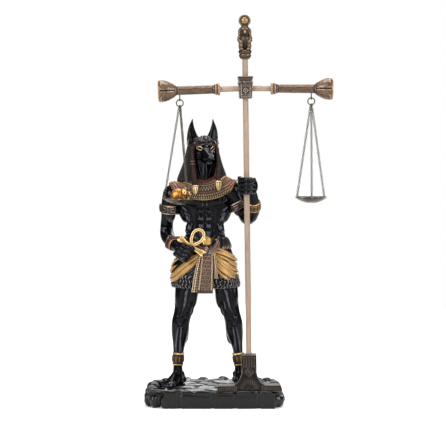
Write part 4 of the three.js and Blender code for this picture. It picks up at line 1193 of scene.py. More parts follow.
def build_bands():
    """Armlets, bracelets and anklets."""
    for name, skin, limb, place, height, level, kind, finish in BANDS:
        points = band_grid(skin_points(skin), limb, place, height, level)
        along, turn = grid_share(points)
        share = 0.5 + (along - 0.5) * 1.04
        rim = 1.1 / height
        inwards = np.minimum(share, 1 - share)
        rims = plateau(inwards, rim * 0.2, rim * 1.2, 0.06)
        inner_rims = plateau(inwards, rim * 1.7, rim * 2.1, 0.04)
        motif, plain = band_motif(kind, turn / (2 * math.pi), share)
        heights = rims * 0.6 + inner_rims * 0.35 + motif
        tint = 1 - np.clip(rims + inner_rims * 0.5 + plain, 0, 1)
        finish_grid(name, raised(points, heights), finish, "gold_paint", reach=5, tint=tint)


def laid_on(points, skin, gap, where=1.0):
    """A grid of points lifted where it would sink into the skin under it."""
    height = np.zeros((160, 160))
    near = (skin[:, 2] > 150) & (skin[:, 2] < 189)
    np.maximum.at(height, tuple((np.round(skin[near, :2]).astype(int) + 80).T), skin[near, 2])
    spots = np.clip(np.round(points[..., :2]).astype(int) + 80, 0, 159)
    lift = np.maximum(height[spots[..., 0], spots[..., 1]] + gap - points[..., 2], 0) * where
    for _ in range(12):
        lift = (lift + np.roll(lift, 1, axis=1) + np.roll(lift, -1, axis=1)) / 3
        lift[1:-1] = (lift[:-2] + lift[1:-1] + lift[2:]) / 3
    return points + lift[..., None] * np.array(UP)


def build_collar():
    """The broad collar: rows of beads, zigzags and hanging tubes between ribs."""
    steps, sides = GRID["collar"]
    points = tube_grid(smooth_rows(COLLAR, steps), sides, level=True)
    along, turn = grid_share(points)
    ahead = np.cos(turn)
    dip = np.interp(along * (len(COLLAR) - 1), range(len(COLLAR_DIP)), COLLAR_DIP)
    points[..., 2] -= dip * ahead**2 * np.where(ahead > 0, 1, 0.5)
    points[..., 2] += COLLAR_RISE * np.clip(np.sin(turn), 0, 1) ** 2 * plateau(along, 0.08, 2, 0.3)
    points = laid_on(points, skin_points("body"), 0.8, where=plateau(along, 0.1, 2, 0.04))
    cells = turn / (2 * math.pi)
    share = along / COLLAR_FACE
    heights = np.zeros_like(share)
    tint = np.zeros_like(share)
    for low, high, kind, count, height in COLLAR_ROWS:
        inside = plateau(share, low, high, 0.012)
        middle, half = (low + high) / 2, (high - low) / 2
        if kind == "rib":
            row = inside
        elif kind == "beads":
            row = ovals(cells, share, 1 / count, middle, 0.46 / count, half)
        elif kind == "tubes":
            row = inside * np.sqrt(np.clip(1 - ((((cells * count) % 1) - 0.5) / 0.42) ** 2, 0, 1))
            row *= 1 - 0.5 * plateau(share, high - half * 0.5, high - half * 0.3, 0.02)
        else:
            peak = np.abs(((cells * count) % 1) * 2 - 1)
            away = np.abs((share - low) / (high - low) - peak * 0.7 - 0.15)
            row = inside * (1 - np.clip(away / 0.2, 0, 1))
        heights += row * height
        if kind in ("zigzag", "tubes"):
            tint = np.maximum(tint, inside * (0.35 if kind == "zigzag" else 0.2))
    shoulder = plateau(np.abs(np.sin(turn)), 0.72, 2, 0.2)
    bars = 0.55 + 0.45 * plateau((cells * 46) % 1, 0.15, 0.85, 0.2)
    tint = np.clip(tint + shoulder * bars * plateau(share, 0.28, 0.92, 0.04), 0, 1)
    heights *= share < 1.04
    tint = np.maximum(tint, plateau(share, -1, 0.13, 0.04))
    finish_grid("broad_collar", raised(points, heights), "collar_paint", "gold_paint", reach=5, tint=tint)


def build_wig_cloth():
    """The striped cloth, open in front for the face and the throat."""
    steps, sides = GRID["wig"]
    points = tube_grid(smooth_rows(WIG, steps), sides, level=True, fullness=0.72)
    along, turn = grid_share(points)
    z = points[..., 2]
    half_open = np.interp(z, *FACE_OPENING)
    middle = np.interp(z, [180, 206], [-8.4, -7.5])
    inside = np.clip((half_open - np.abs(points[..., 0] - middle)) / 1.1, 0, 1)
    inside = inside * inside * (3 - 2 * inside) * (np.cos(turn) > 0)
    strands = bpy.context.scene.figurine_sizes.strands
    strand = np.abs(np.cos(turn * strands / 2)) ** 0.6
    twist = 0.5 + 0.5 * np.cos(z * 2 * math.pi / 2.1 + np.floor(turn * strands / (2 * math.pi)) * math.pi)
    below = plateau(z, 0, 211.4, 1)
    band = plateau(z, *WIG_BAND, 0.7)
    hem = plateau(z, 0, WIG_HEM, 0.5)
    heights = strand * (0.75 + twist * 0.28) * below * (1 - hem) + band * 0.5 + hem * (0.7 + 0.3 * strand)
    heights += plateau(z, 215.4, 300, 0.6) * 0.35 * wave(turn, 24)
    points = raised(points, heights * (1 - inside))
    back = np.interp(z, [180, 196, 203], [1.5, 1.5, 4])
    points[..., 1] += (back - points[..., 1]) * inside
    tint = np.clip(plateau(turn, math.pi, 1.9 * math.pi, 0.8) * below, 0, 1)
    finish_grid("wig_cloth", points, "wig_paint", "painted_black", reach=5, tint=tint)


def build_locks():
    """The two bound locks beside the face, each with a gold tip."""
    steps, sides = GRID["lock"]
    for name, rows in LOCKS:
        lock = smooth_rows(rows, steps)
        split = int(LOCK_TIP_FROM * steps)
        for part, piece_table in (("lock", lock[: split + 2]), ("tip", lock[split:])):
            points = tube_grid(piece_table, sides)
            along, turn = grid_share(points)
            z = points[..., 2]
            if part == "lock":
                heights = 0.3 * np.abs(np.cos(turn * 3 + z * 1.3)) ** 0.7
                cuffs = sum(plateau(z, low, low + 0.8, 0.3) for low in LOCK_CUFFS) * (name == "left_lock")
                heights = heights * (1 - cuffs) + cuffs * 0.7
                tint = np.clip(cuffs if name == "left_lock" else 1 + 0 * z, 0, 1)
                finish = "lock_paint" if name == "left_lock" else "wig_paint"
            else:
                flutes = wave(turn, 8) * plateau(along, 0.2, 0.95, 0.1)
                heights = plateau(along, -1, 0.12, 0.06) * 0.5 + 0.35 * flutes
                tint = np.zeros_like(along)
                finish = "gold_paint"
            points = raised(points, heights)
            finish_grid(f"{name}_{part}", points, finish, "gold_paint", reach=5, tint=tint)


def build_brow():
    """The beads at the ears and the crest over the brow."""
    bm = bmesh.new()
    for mirror in (-1, 1):
        for offset, z, size in EAR_BEADS:
            add_ball(bm, (HEAD_AT[0] + mirror * offset, -2.6 + mirror, z), (size, size * 1.2, size * 0.7))
    finish_bmesh("ear_beads", bm, "antique_bronze", "antique_bronze")
    bm = bmesh.new()
    for at, radii in CREST:
        add_ball(bm, at, radii)
    clay = Clay(bm, VOXEL["crest"], relax=2)
    clay.draw([([(low, 0, 5), (high, 0, 13)], 0.5, -0.4) for low, high in CREST_LINES], flat=(1, 0, 1))
    clay.place(head_matrix())
    finish_clay("brow_crest", clay, "cloth_black", "painted_black", reach=6)


def head_matrix():
    return Matrix.Translation(HEAD_AT) @ turned((HEAD_TURN, "Z"))


def build_eyes():
    """Gold eyes with a drawn-out outline, and dark pupils."""
    rims, balls, pupils = bmesh.new(), bmesh.new(), bmesh.new()
    for mirror in (-1, 1):
        at = Vector((EYE_AT[0] * mirror, EYE_AT[1], EYE_AT[2]))
        turn = (0, -8 * mirror, 34 * mirror)
        add_ball(balls, at, (2.1, 0.95, 1.2), turn)
        look = Matrix.LocRotScale(at, Euler([angle * DEGREE for angle in turn]), Vector((1, 1, 1)))
        add_ball(pupils, look @ Vector((0.1 * mirror, -0.5, 0)), (0.95, 0.62, 0.85), turn)
        outline = [look @ Vector((x * mirror, y, z)) for x, y, z in EYE_OUTLINE]
        add_tube(rims, [[*point, 0.2, 0.25] for point in outline], 10, steps=48)
    for name, bm, finish, slot in (
        ("eye_rims", rims, "gold_paint", "gold_paint"),
        ("eyes", balls, "eye_dark", "gold_paint"),
        ("pupils", pupils, "black_resin", "painted_black"),
    ):
        put(bm, head_matrix())
        finish_bmesh(name, bm, finish, slot)


def kilt_point(angle, z, lift):
    """Points on the kilt at angles in degrees from the front, at heights, lifted off it."""
    table = np.array(KILT, float)[::-1]
    x, y, width, depth = (np.interp(z, table[:, 2], table[:, column]) for column in (0, 1, 3, 4))
    angle = np.asarray(angle) * DEGREE
    return np.stack([x + (width + lift) * np.sin(angle), y - (depth + lift) * np.cos(angle), z], axis=-1)


def add_pleat(bm, path, lift):
    """One pleat of cloth on the kilt: a ridge with a crease, along a path of (degrees, z, half width)."""
    steps, sides = GRID["pleat"]
    table = smooth_rows(path, steps)
    reach = 24 * DEGREE
    run = unit(np.stack([np.gradient(table[:, 0]) * reach, np.gradient(table[:, 1])], axis=1))
    turn = round_turn(sides)[None, :]
    across = np.cos(turn) * table[:, 2, None]
    creases = [(0.3, 0.3, 0.14), (0.2, -0.45, 0.12)]
    crease = sum(deep * np.exp(-(((np.cos(turn) - at) / wide) ** 2)) for deep, at, wide in creases)
    crease = crease * (np.sin(turn) > 0)
    lean = 1 + 0.35 * np.cos(turn) * np.sign(run[:1, 0, None])
    height = (np.sin(turn) * lean * (1 - crease)) * PLEAT_HEIGHT * np.clip(table[:, 2, None] / 1.2, 0.25, 1)
    # Painted shade: the tint runs dark brown down the pleat's lower flanks and in its crease, and grows towards
    # its far end
    end_shade = np.clip(np.linspace(-0.9, 0.35, len(table)), 0, 1)[:, None]
    shade = 1 - np.clip(np.sin(turn), 0, 1) ** 1.7 * (1 - 1.4 * crease) + end_shade + 0 * height
    angles = table[:, 0, None] - run[:, 1, None] * across / reach
    heights = table[:, 1, None] + run[:, 0, None] * across
    add_grid(bm, kilt_point(angles, heights, lift + height), tint=shade)


def build_kilt_cloth():
    """The kilt's folds, frills and fringe."""
    steps, sides = GRID["kilt"]
    points = tube_grid(smooth_rows(KILT, steps), sides, level=True)
    along, turn = grid_share(points)
    z = points[..., 2]
    swag = z + 4.5 * np.cos((np.abs(np.sin(turn)) - 0.62) * 5.2)
    front = plateau(np.cos(turn), 0.05, 2, 0.3)
    drapes = np.abs(np.cos(swag * 1.35)) ** 0.8 * front * plateau(z, 104, 112, 5)
    frills = np.abs(np.cos(turn * 26 + 0.7 * np.sin(z * 0.8 + turn * 9))) ** 0.8 * plateau(z, 0, 105, 3)
    tiers = frills * (1 - 0.65 * plateau((z + 0.9 * np.sin(turn * 31)) % 4.6, 0, 0.9, 0.8))
    pleats = np.abs(np.cos(turn * 30 + 0.4 * np.sin(z * 0.3))) ** 0.7
    fringe = np.abs(np.cos(turn * 55)) * plateau(z, 0, 97.5, 0.6)
    heights = 1.1 * drapes + 1.5 * tiers + 0.5 * pleats * (1 - 0.5 * front) + 0.4 * fringe
    heights += 0.5 * plateau(z, 97, 98.4, 0.5)
    points = raised(points, heights * plateau(along, 0.02, 0.985, 0.02))
    lowest = plateau(along, 0.9, 2, 0.1)
    points[..., 2] += lowest * (1.6 * np.abs(np.sin(turn * 26)) - 0.4)
    finish_grid("kilt_cloth", points, "cloth_black", "painted_black", reach=6)


def build_sash():
    """The gold sash: fans of pleats over the kilt."""
    for name, first, last, count, lift in SASH_FANS:
        bm = bmesh.new()
        for number, share in enumerate(np.linspace(0, 1, count)):
            path = np.array(first) * (1 - share) + np.array(last) * share
            path[:, 0] *= 1 + 0.05 * math.sin(9 * share + lift * 5)
            path[:, 2] *= 1.3 if number % 2 else 0.95
            path[1:-1, 1] += 0.5 * math.sin(11 * share + lift)
            add_pleat(bm, path, lift + (0.5 if number % 2 else 0))
        finish_bmesh(name, bm, "gold_sash", "gold_paint", reach=5)


def build_front_panel():
    """The front panel with rows of plain ovals between ladders, and its two ribbons."""
    steps, columns = GRID["panel"]
    table = smooth_rows(PANEL, steps)
    t = np.linspace(-1, 1, columns)[None, :]
    x, y, z, half = (table[:, column, None] for column in range(4))
    across = t * half
    length = (table[0, 2] - z) * np.ones_like(t)
    lines = plateau(np.abs(t), 0.8, 1, 0.05) * (0.7 + 0.3 * np.cos(length * 4))
    lines = lines + plateau(np.abs(t), 0.66, 0.71, 0.04) * 0.6
    rung = (length / PANEL_RUNG) % 1
    inner = plateau(np.abs(t), -1, 0.6, 0.05)
    count = np.floor(length / PANEL_RUNG)
    rungs = plateau(rung, 0.02, 0.16, 0.1) * inner
    shifted = across + PANEL_MARK / 2 * (count % 2)
    row = np.floor(shifted / PANEL_MARK)
    marks = ovals(shifted, rung, PANEL_MARK, 0.6, 0.72, 0.27) * inner
    marks -= 0.8 * ovals(shifted, rung, PANEL_MARK, 0.6, 0.3, 0.12) * inner * ((row + count) % 2)
    foot = plateau(length, table[0, 2] - table[-1, 2] - 2.6, 99, 0.4)
    hem = foot * (0.4 + 0.6 * np.abs(np.cos(across * 1.6)))
    heights = (lines + 0.6 * rungs + 1.1 * marks) * (1 - foot) + hem
    points = np.stack([x + across, y - 0.9 * (1 - t**2) - 0.75 * heights, z + 0 * t], axis=-1)
    gutters = plateau(np.abs(t), 0.6, 0.68, 0.05) + 0 * length
    tint = foot + gutters + inner * (1 - np.clip(marks + rungs, 0, 1)) * 0.62
    finish_grid("front_panel", points, "panel_paint", "antique_bronze", wrap=False, thickness=1.6,
                reach=6, tint=np.clip(tint, 0, 1))
    steps, sides = GRID["ribbon"]
    for name, rows in zip(("ribbon_left", "ribbon_right"), RIBBONS):
        points = tube_grid(smooth_rows(rows, steps), sides, level=True)
        along, turn = grid_share(points)
        heights = 0.45 * np.abs(np.cos(turn * 3)) + 0.25 * plateau((along * 22) % 1, 0.2, 0.5, 0.2)
        face = plateau(np.abs(np.sin(turn)), -1, 0.72, 0.2)
        finish_grid(name, raised(points, heights), "panel_paint", "antique_bronze", reach=6, tint=face)


def build_belt():
    """The folded belt with its two scrolls and the gold medallion."""
    steps, sides = GRID["belt"]
    points = tube_grid(smooth_rows(BELT, steps), sides, level=True)
    along, turn = grid_share(points)
    swept = turn * 13 + 3.4 * along * np.sign(np.sin(turn)) + 0.8 * np.sin(turn * 5)
    folds = np.abs(np.cos(swept)) ** 0.7 * plateau(along, 0.06, 0.94, 0.1)
    creases = np.abs(np.cos(swept * 2.3 + 1)) * plateau(along, 0.06, 0.94, 0.1)
    points = raised(points, 1.1 * folds + 0.3 * creases)
    finish_grid("belt", points, "belt_cloth", "painted_black", reach=6)
    bm = bmesh.new()
    for path in BELT_SCROLLS:
        add_tube(bm, path, 20, steps=60)
    for at, radii in BELT_KNOBS:
        add_ball(bm, at, radii)
    clay = Clay(bm, VOXEL["scrolls"], relax=1)
    strokes = []
    for path in BELT_SCROLLS:
        for shift in (-0.7, 0.7):
            strokes.append(([(x + shift, 0, z) for x, _, z, *_ in path], 0.45, -0.35))
    turn = np.linspace(0, 2 * math.pi, 17)
    oval = [(-7.4 + 1.5 * math.sin(angle), 0, 125.6 + 2.5 * math.cos(angle)) for angle in turn]
    strokes.append((oval, 0.4, -0.35))
    clay.draw(strokes, flat=(1, 0, 1))
    finish_clay("belt_scrolls", clay, "scroll_paint", "antique_bronze", reach=6)
    bm = bmesh.new()
    add_grid(bm, spun(MEDALLION, 64))
    put(bm, Matrix.Translation(MEDALLION_AT) @ turned((90, "X")))
    finish_bmesh("belt_medallion", bm, "gold_paint", "gold_paint", sharp=50)


def build_looped_cross():
    """The looped cross in the right fist: a teardrop loop, a flared crossbar and a stem."""
    turn = round_turn(96)
    pinch = 1 - 0.75 * (0.5 - 0.5 * np.sin(turn)) ** 2
    across, up = CROSS_LOOP
    ring = np.stack([across * pinch * np.cos(turn), 0 * turn, up * (np.sin(turn) + 1) + 0.6], axis=1)
    along = unit(np.roll(ring, -1, axis=0) - np.roll(ring, 1, axis=0))
    out = np.cross(along, np.array([0, 1.0, 0]))
    section = round_turn(24)
    wide = np.sign(np.cos(section)) * np.abs(np.cos(section)) ** 0.55 * wanted_size("cross_ribbon")
    thick = np.sign(np.sin(section)) * np.abs(np.sin(section)) ** 0.55
    thick *= (1 - 0.28 * (np.abs(wide) < 0.6)) * 1.05
    points = ring[:, None] + out[:, None] * wide[None, :, None] + np.array([0, 1.0, 0]) * thick[None, :, None]
    bm = bmesh.new()
    add_grid(bm, points, closed=True)
    for rows in (CROSS_BAR, CROSS_STEM):
        add_tube(bm, rows, 24, front=UP if rows is CROSS_BAR else FRONT, fullness=0.5, steps=40)
    clay = Clay(bm, VOXEL["cross"], relax=1)
    clay.draw([([(x, -1.2, z) for x, _, z, *_ in rows], 0.45, -0.3) for rows in (CROSS_BAR, CROSS_STEM)])
    clay.place(Matrix.Translation(CROSS_AT) @ turned((34, "Y")))
    finish_clay("looped_cross", clay, "gold_paint", "gold_paint", reach=6)


def add_block(bm, outline, push):
    """Extrudes a flat outline of points along a vector."""
    bottom = bm.faces.new([bm.verts.new(point) for point in outline])
    made = bmesh.ops.extrude_face_region(bm, geom=[bottom], use_keep_orig=True)["geom"]
    bmesh.ops.translate(bm, verts=[item for item in made if isinstance(item, bmesh.types.BMVert)], vec=push)


def loop_points(path, normal, wide, thick=None, section=12):
    """Points of a ring of wire along a flat path, with half sizes in its plane and along its normal."""
    path, normal = np.array(path, float), np.array(normal, float)
    along = unit(np.roll(path, -1, axis=0) - np.roll(path, 1, axis=0))
    out = np.cross(along, normal)
    turn = round_turn(section)
    offsets = out[:, None] * (np.cos(turn) * wide)[None, :, None]
    return path[:, None] + offsets + normal * (np.sin(turn) * (thick or wide))[None, :, None]


def circle_path(radius, steps, at=(0, 0, 0), flat="XZ"):
    """Points round a circle in one of the frame's planes."""
    turn = round_turn(steps)
    first, second = radius * np.cos(turn), radius * np.sin(turn)
    columns = {"XZ": (first, 0 * turn, second), "YZ": (0 * turn, first, second)}[flat]
    return np.stack(columns, axis=1) + np.array(at)


def staff_matrix(height=0):
    """Axes of the staff, at a height along it."""
    return Matrix.Translation(STAFF_AT) @ turned((-STAFF_LEAN, "Y")) @ Matrix.Translation((0, 0, height))


def beam_matrix(mirror):
    """Axes of one half of the beam, with X outwards."""
    side = turned((180, "Z")) if mirror < 0 else Matrix.Identity(4)
    return staff_matrix(BEAM_Z) @ turned((BEAM_DROOP * mirror, "Y")) @ side


def hanger_matrix(mirror):
    """Axes of what hangs from one half of the beam, upright and with the screw eye at the origin."""
    return Matrix.Translation(beam_matrix(mirror) @ Vector((RING_AT, 0, -3.7)))


def stone_field(x, y):
    """Tops and joints of the flagstones: heights, and 0 in a joint to 1 on a stone."""
    random = np.random.default_rng(STONE_SEED)
    sites = []
    for row in range(-4, 5):
        for column in range(-5, 6):
            shift = 0.5 if row % 2 else 0
            jitter = random.uniform(-0.28, 0.28, 2)
            sites.append(((column + shift + jitter[0]) * STONE_PITCH[0], (row + jitter[1]) * STONE_PITCH[1]))
    sites = np.array(sites)
    tilts = random.uniform(-0.1, 0.1, (len(sites), 2))
    lifts = random.uniform(-0.75, 0.35, len(sites))
    offsets = np.stack([x, y], axis=1)[:, None] - sites[None]
    distances = np.hypot(offsets[..., 0], offsets[..., 1] * STONE_PITCH[0] / STONE_PITCH[1])
    order = np.argsort(distances, axis=1)[:, :2]
    index = np.arange(len(x))
    nearest, second = order[:, 0], order[:, 1]
    edge = distances[index, second] - distances[index, nearest]
    own = offsets[index, nearest]
    stone = np.clip(edge / wanted_size("stone_joint"), 0, 1)
    stone = np.sqrt(1 - (1 - stone) ** 2)
    top = STONE_TOP + lifts[nearest] + (own * tilts[nearest]).sum(axis=1) + 0.35 * np.clip(edge / 9, 0, 1)
    return top + 0.4 - 2.8 * (1 - stone), stone


def build_plinth():
    """The rocky plinth: flagstones on top, a brick front and boulders at its ends."""
    bm = bmesh.new()
    inset = []
    for x, y in PLINTH_OUTLINE:
        inset.append((min(max(x, SLAB_ENDS[0]), SLAB_ENDS[1]), y if y < -30 else y * PLINTH_INSET))
    add_block(bm, [(x, y, 0) for x, y in inset], (0, 0, STONE_TOP))
    random = np.random.default_rng(BOULDER_SEED)
    boulders = []
    for height, count, smallest, largest in BOULDER_TIERS:
        for x, y, _ in smooth_rows([[x, y, 0] for x, y in BOULDER_PATH], count):
            size = random.uniform(smallest, largest)
            place = (x * (1 + random.uniform(-0.03, 0)), y * (1 + random.uniform(-0.03, 0)), height)
            boulders.append((*place, size))
            radii = (size, size * random.uniform(0.8, 1), size * 0.92)
            add_ball(bm, place, radii, random.uniform(-20, 20, 3))
    add_tube(bm, ROCK_LIP, 16, front=UP, steps=60)
    clay = Clay(bm, VOXEL["plinth"], relax=1)
    boulders = np.array(boulders)
    away = np.linalg.norm(clay.points[:, None] - boulders[None, :, :3], axis=2) / boulders[None, :, 3]
    away.sort(axis=1)
    x, y, z = clay.points.T
    rim = ((x < SLAB_ENDS[0] + 4) | (x > SLAB_ENDS[1] - 3) | (y > 22)) & (away[:, 0] < 1.3)
    top_face = (np.abs(z - STONE_TOP) < 0.6) & (clay.normals()[:, 2] > 0.75)
    tops, stone = stone_field(x, y)
    under_foot = np.zeros(len(x))
    for _, _, ankle, _, _ in LEGS:
        near = np.hypot((x - ankle[0]) / 11, (y - ankle[1] + 5) / 17)
        under_foot = np.maximum(under_foot, hill(np.clip(near - 0.6, 0, 9), 0.4))
    tops = tops * (1 - under_foot) + (FOOT_GROUND + 0.1) * under_foot
    clay.points[top_face, 2] = tops[top_face]
    clay.relax(1)
    clay.raise_by((0.5 - 2.6 * hill((away[:, 1] - away[:, 0]) * 5, 1.6)) * rim)
    clay.relax(1)
    clay.raise_by(0.2 * ripple(clay.points, 8, 3, octaves=2) + 0.05 * ripple(clay.points, 2.6, 4, octaves=1))
    joints = []
    for joint in BRICK_JOINTS:
        wander = [(joint + 0.5 * math.sin(joint + height), -38, height) for height in range(-1, 14, 2)]
        joints.append((wander, 1.9, -1.5))
    joints.append(([(x, -38, 11 + 0.7 * math.sin(x * 0.21)) for x in range(-34, 50, 2)], 0.9, -0.5))
    clay.draw(joints, flat=(1, 0, 1), where=clay.points[:, 1] < -33)
    x, y, z = clay.points.T
    seat = (np.abs(x - SEAT[0]) < SEAT[2]) & (np.abs(y - SEAT[1]) < SEAT[3]) & (z > SEAT[4])
    clay.points[seat, 2] = SEAT[4]
    clay.relax(1)
    floor = (clay.points[:, 2] < 0.35) & (clay.normals()[:, 2] < -0.6) | (clay.points[:, 2] < 0)
    clay.points[floor, 2] = 0
    clay.points = np.clip(clay.points, *PLINTH_LIMITS)
    # Upward-facing flagstone tops take the lighter tint colour: partly dry-brushed grey, partly a painted
    # highlight from above
    tint = 1.2 * stone * (clay.points[:, 2] > 12) * np.clip(clay.normals()[:, 2] * 1.6 - 0.6, 0, 1)
    finish_clay("plinth", clay, "stone_paint", "painted_stone", replaces=["plinth"], reach=14, tint=tint)


def build_staff_foot():
    """The inverted T under the staff, with worn carving on its front."""
    turn = np.linspace(0, math.pi / 2, 10)
    half, post = FOOT["width"] / 2, FOOT["post"] / 2
    right = [(half, 0), (half, FOOT["bar"])]
    for angle in turn:
        across = post + FOOT["sweep"] * (1 - math.sin(angle))
        right.append((across, FOOT["bar"] + FOOT["rise"] * (1 - math.cos(angle))))
    right.append((post, FOOT["height"]))
    outline = right + [(-x, z) for x, z in reversed(right)]
    bm = bmesh.new()
    add_block(bm, [(x, -FOOT["depth"] / 2, z) for x, z in outline], (0, FOOT["depth"], 0))
    clay = Clay(bm, VOXEL["staff_foot"], relax=1)
    strokes = [level(0.4, -25, 25, 0.4, 0.35), level(4.9, -25, -9.5, 0.4, 0.4), level(4.9, 9.5, 25, 0.4, 0.4)]
    for x in np.arange(-16, 17) * 1.48:
        strokes.append(upright(x, 1.3, 3.9, 0.55, 0.1 if abs(x) < 9 else 0.55))
    strokes += [level(z, -6, 6, 0.5, 0.45) for z in (29.4, 27.9, 20.4)]
    for x in np.arange(-2, 3) * 2.1:
        strokes.append(upright(x, 21.2, 27.1, 0.6, 0.5))
        strokes += [level(z, x - 0.5, x + 0.5, 0.3, -0.3) for z in (22.4, 23.6, 24.8, 26)]
    strokes += [lozenge(16.2, 3.4, 3.6, 0.5), lozenge(16.2, 1.3, 1.3, 0.6)]
    fan = [([(5.2, 0, 19.6), (5.4, 0, 15)], 0.4, 0.35)]
    for feather in range(6):
        angle = (8 + feather * 13) * DEGREE
        reach = 10.4 - feather * 0.3
        places = (2.6, 0.52 + reach * 0.8, reach)
        root, middle, tip = ((math.sin(angle) * far, 0, 1.4 + math.cos(angle) * far) for far in places)
        fan += [([root, tip], 0.6, 0.5), ([middle, tip], 0.35, -0.35)]
    strokes += mirrored(fan)
    arch = [(2.2 * math.sin(a), 0, 1.4 + 2.2 * math.cos(a)) for a in np.linspace(-1.5, 1.5, 9)]
    strokes.append((arch, 0.5, 0.5))
    front = clay.points[:, 1] < -FOOT["depth"] / 2 + 0.6
    clay.points[front, 1] += 0.55
    clay.draw(strokes, flat=(1, 0, 1), where=front * 1.0)
    clay.raise_by(0.05 * ripple(clay.points, 1.6, 5))
    clay.points[:, 1] = np.clip(clay.points[:, 1], -FOOT["depth"] / 2, FOOT["depth"] / 2)
    clay.points[:, 2] = np.clip(clay.points[:, 2], 0, FOOT["height"])
    clay.place(staff_matrix())
    finish_clay("staff_foot", clay, "foot_bronze", "antique_bronze", replaces=["staff_foot"], reach=7)


def add_rod(bm, radius, start, end):
    """A turned rod along Z with softened ends."""
    inner, soft = radius - 0.35, 0.35
    low = [(0.01, start), (inner, start), (radius, start + soft)]
    add_grid(bm, spun([*low, (radius, end - soft), (inner, end), (0.01, end)], 40))


def build_dowels():
    """The four wooden rods."""
    rods = [("staff_dowel", staff_matrix(), STAFF_ROD), ("finial_dowel", staff_matrix(), FINIAL_ROD)]
    for name, mirror in SIDES:
        rods.append((f"beam_dowel_{name}", beam_matrix(mirror) @ turned((90, "Y")), BEAM_ROD))
    for name, matrix, (start, end) in rods:
        bm = bmesh.new()
        add_rod(bm, wanted_size("dowel_radius"), start, end)
        put(bm, matrix)
        grain = "level_wood" if name.startswith("beam") else "upright_wood"
        finish_bmesh(name, bm, grain, "pale_wood", replaces=[name], sharp=40)


def build_crosshead():
    """The block where the staff and the beam meet, with a cornice and a carved plate."""
    half = CROSSHEAD["half"]
    bm = bmesh.new()
    corners = np.array([(-1, -1), (1, -1), (1, 1), (-1, 1)]) * (half, half * CROSSHEAD["depth"])
    for low, high, start, end in CROSSHEAD_BLOCKS:
        rings = [[(*corner * share, z) for corner in corners] for share, z in ((low, start), (high, end))]
        add_grid(bm, np.array(rings))
    clay = Clay(bm, VOXEL["crosshead"], relax=1)
    strokes = [level(7.9, -6.4, 6.4, 0.35, -0.3), level(3.3, -6, 6, 0.5, -0.4)]
    strokes += [upright(x, -7.6, 2.4, 0.5, 0.5) for x in (-3.5, 3.5)]
    strokes += [level(z, -3.5, 3.5, 0.5, 0.5) for z in (-7.6, 2.4)]
    strokes += [lozenge(-2.6, 1.9, 2.2, 0.5), upright(0, -3.1, -2.1, 0.7, 0.5)]
    for x in np.arange(-2, 3) * 1.2:
        strokes += [upright(x, z, z + 0.6, 0.4, 0.4) for z in (-6.4, 0.6)]
    clay.draw(strokes, flat=(1, 0, 1), where=(np.abs(clay.points[:, 1]) > half * 0.7) * 1.0)
    side_strokes = [([(0, -3.4, z), (0, 3.4, z)], 0.4, 0.3) for z in (-7, 2.2)]
    clay.draw(side_strokes, flat=(0, 1, 1), where=(np.abs(clay.points[:, 0]) > half * 0.72) * 1.0)
    clay.raise_by(0.05 * ripple(clay.points, 1.4, 8))
    clay.place(staff_matrix(CROSSHEAD["z"]))
    finish_clay("crosshead", clay, "plate_bronze", "antique_bronze", replaces=["crosshead"], reach=7)


def build_finial():
    """The squatting baboon with a moon disc in a crescent, on a round pedestal."""
    bm = bmesh.new()
    add_grid(bm, spun(PEDESTAL, 48))
    add_lumps(bm, BABOON_BALLS)
    for rows in BABOON_LIMBS:
        for mirror in (-1, 1):
            add_tube(bm, mirror_rows(rows, mirror), 14)
    add_grid(bm, loop_points(circle_path(CRESCENT_RADIUS, 48, MOON_AT), FRONT, 0.75, 0.9), closed=True)
    add_ball(bm, MOON_AT, (MOON_RADIUS, 0.9, MOON_RADIUS))
    add_ball(bm, Vector(MOON_AT) + Vector((0, -0.3, 0)), (2.9, 1.8, 2.9))
    add_ball(bm, Vector(MOON_AT) + Vector((0, 0, -4.6)), (2.6, 2, 1.6))
    clay = Clay(bm, VOXEL["finial"], relax=2)
    clay.draw(mirrored(BABOON_STROKES))
    x, y, z = clay.points.T
    fur = plateau(z, 9, 20.5, 1.5) * (np.abs(x) > 2.6) + plateau(z, 9, 20.5, 1.5) * (y > 0)
    mane = plateau(z, 18.5, 26, 1) * (y > -2.6)
    strands = np.abs(np.cos(np.arctan2(x, -y - 0.5) * 11 + 0.8 * np.sin(z * 1.6)))
    clay.raise_by(0.3 * np.clip(fur + mane, 0, 1) * (strands - 0.5))
    clay.place(staff_matrix(FINIAL_Z))
    moon = staff_matrix(FINIAL_Z) @ Vector(MOON_AT)
    away = np.linalg.norm(clay.points - np.array(moon), axis=1)
    tint = plateau(away, -1, MOON_RADIUS + 0.1, 0.5) + 0.25 * plateau(away, 4.1, 9, 1)
    finish_clay("moon_baboon_finial", clay, "finial_bronze", "antique_bronze",
                replaces=["moon_baboon_finial"], reach=7, tint=tint)


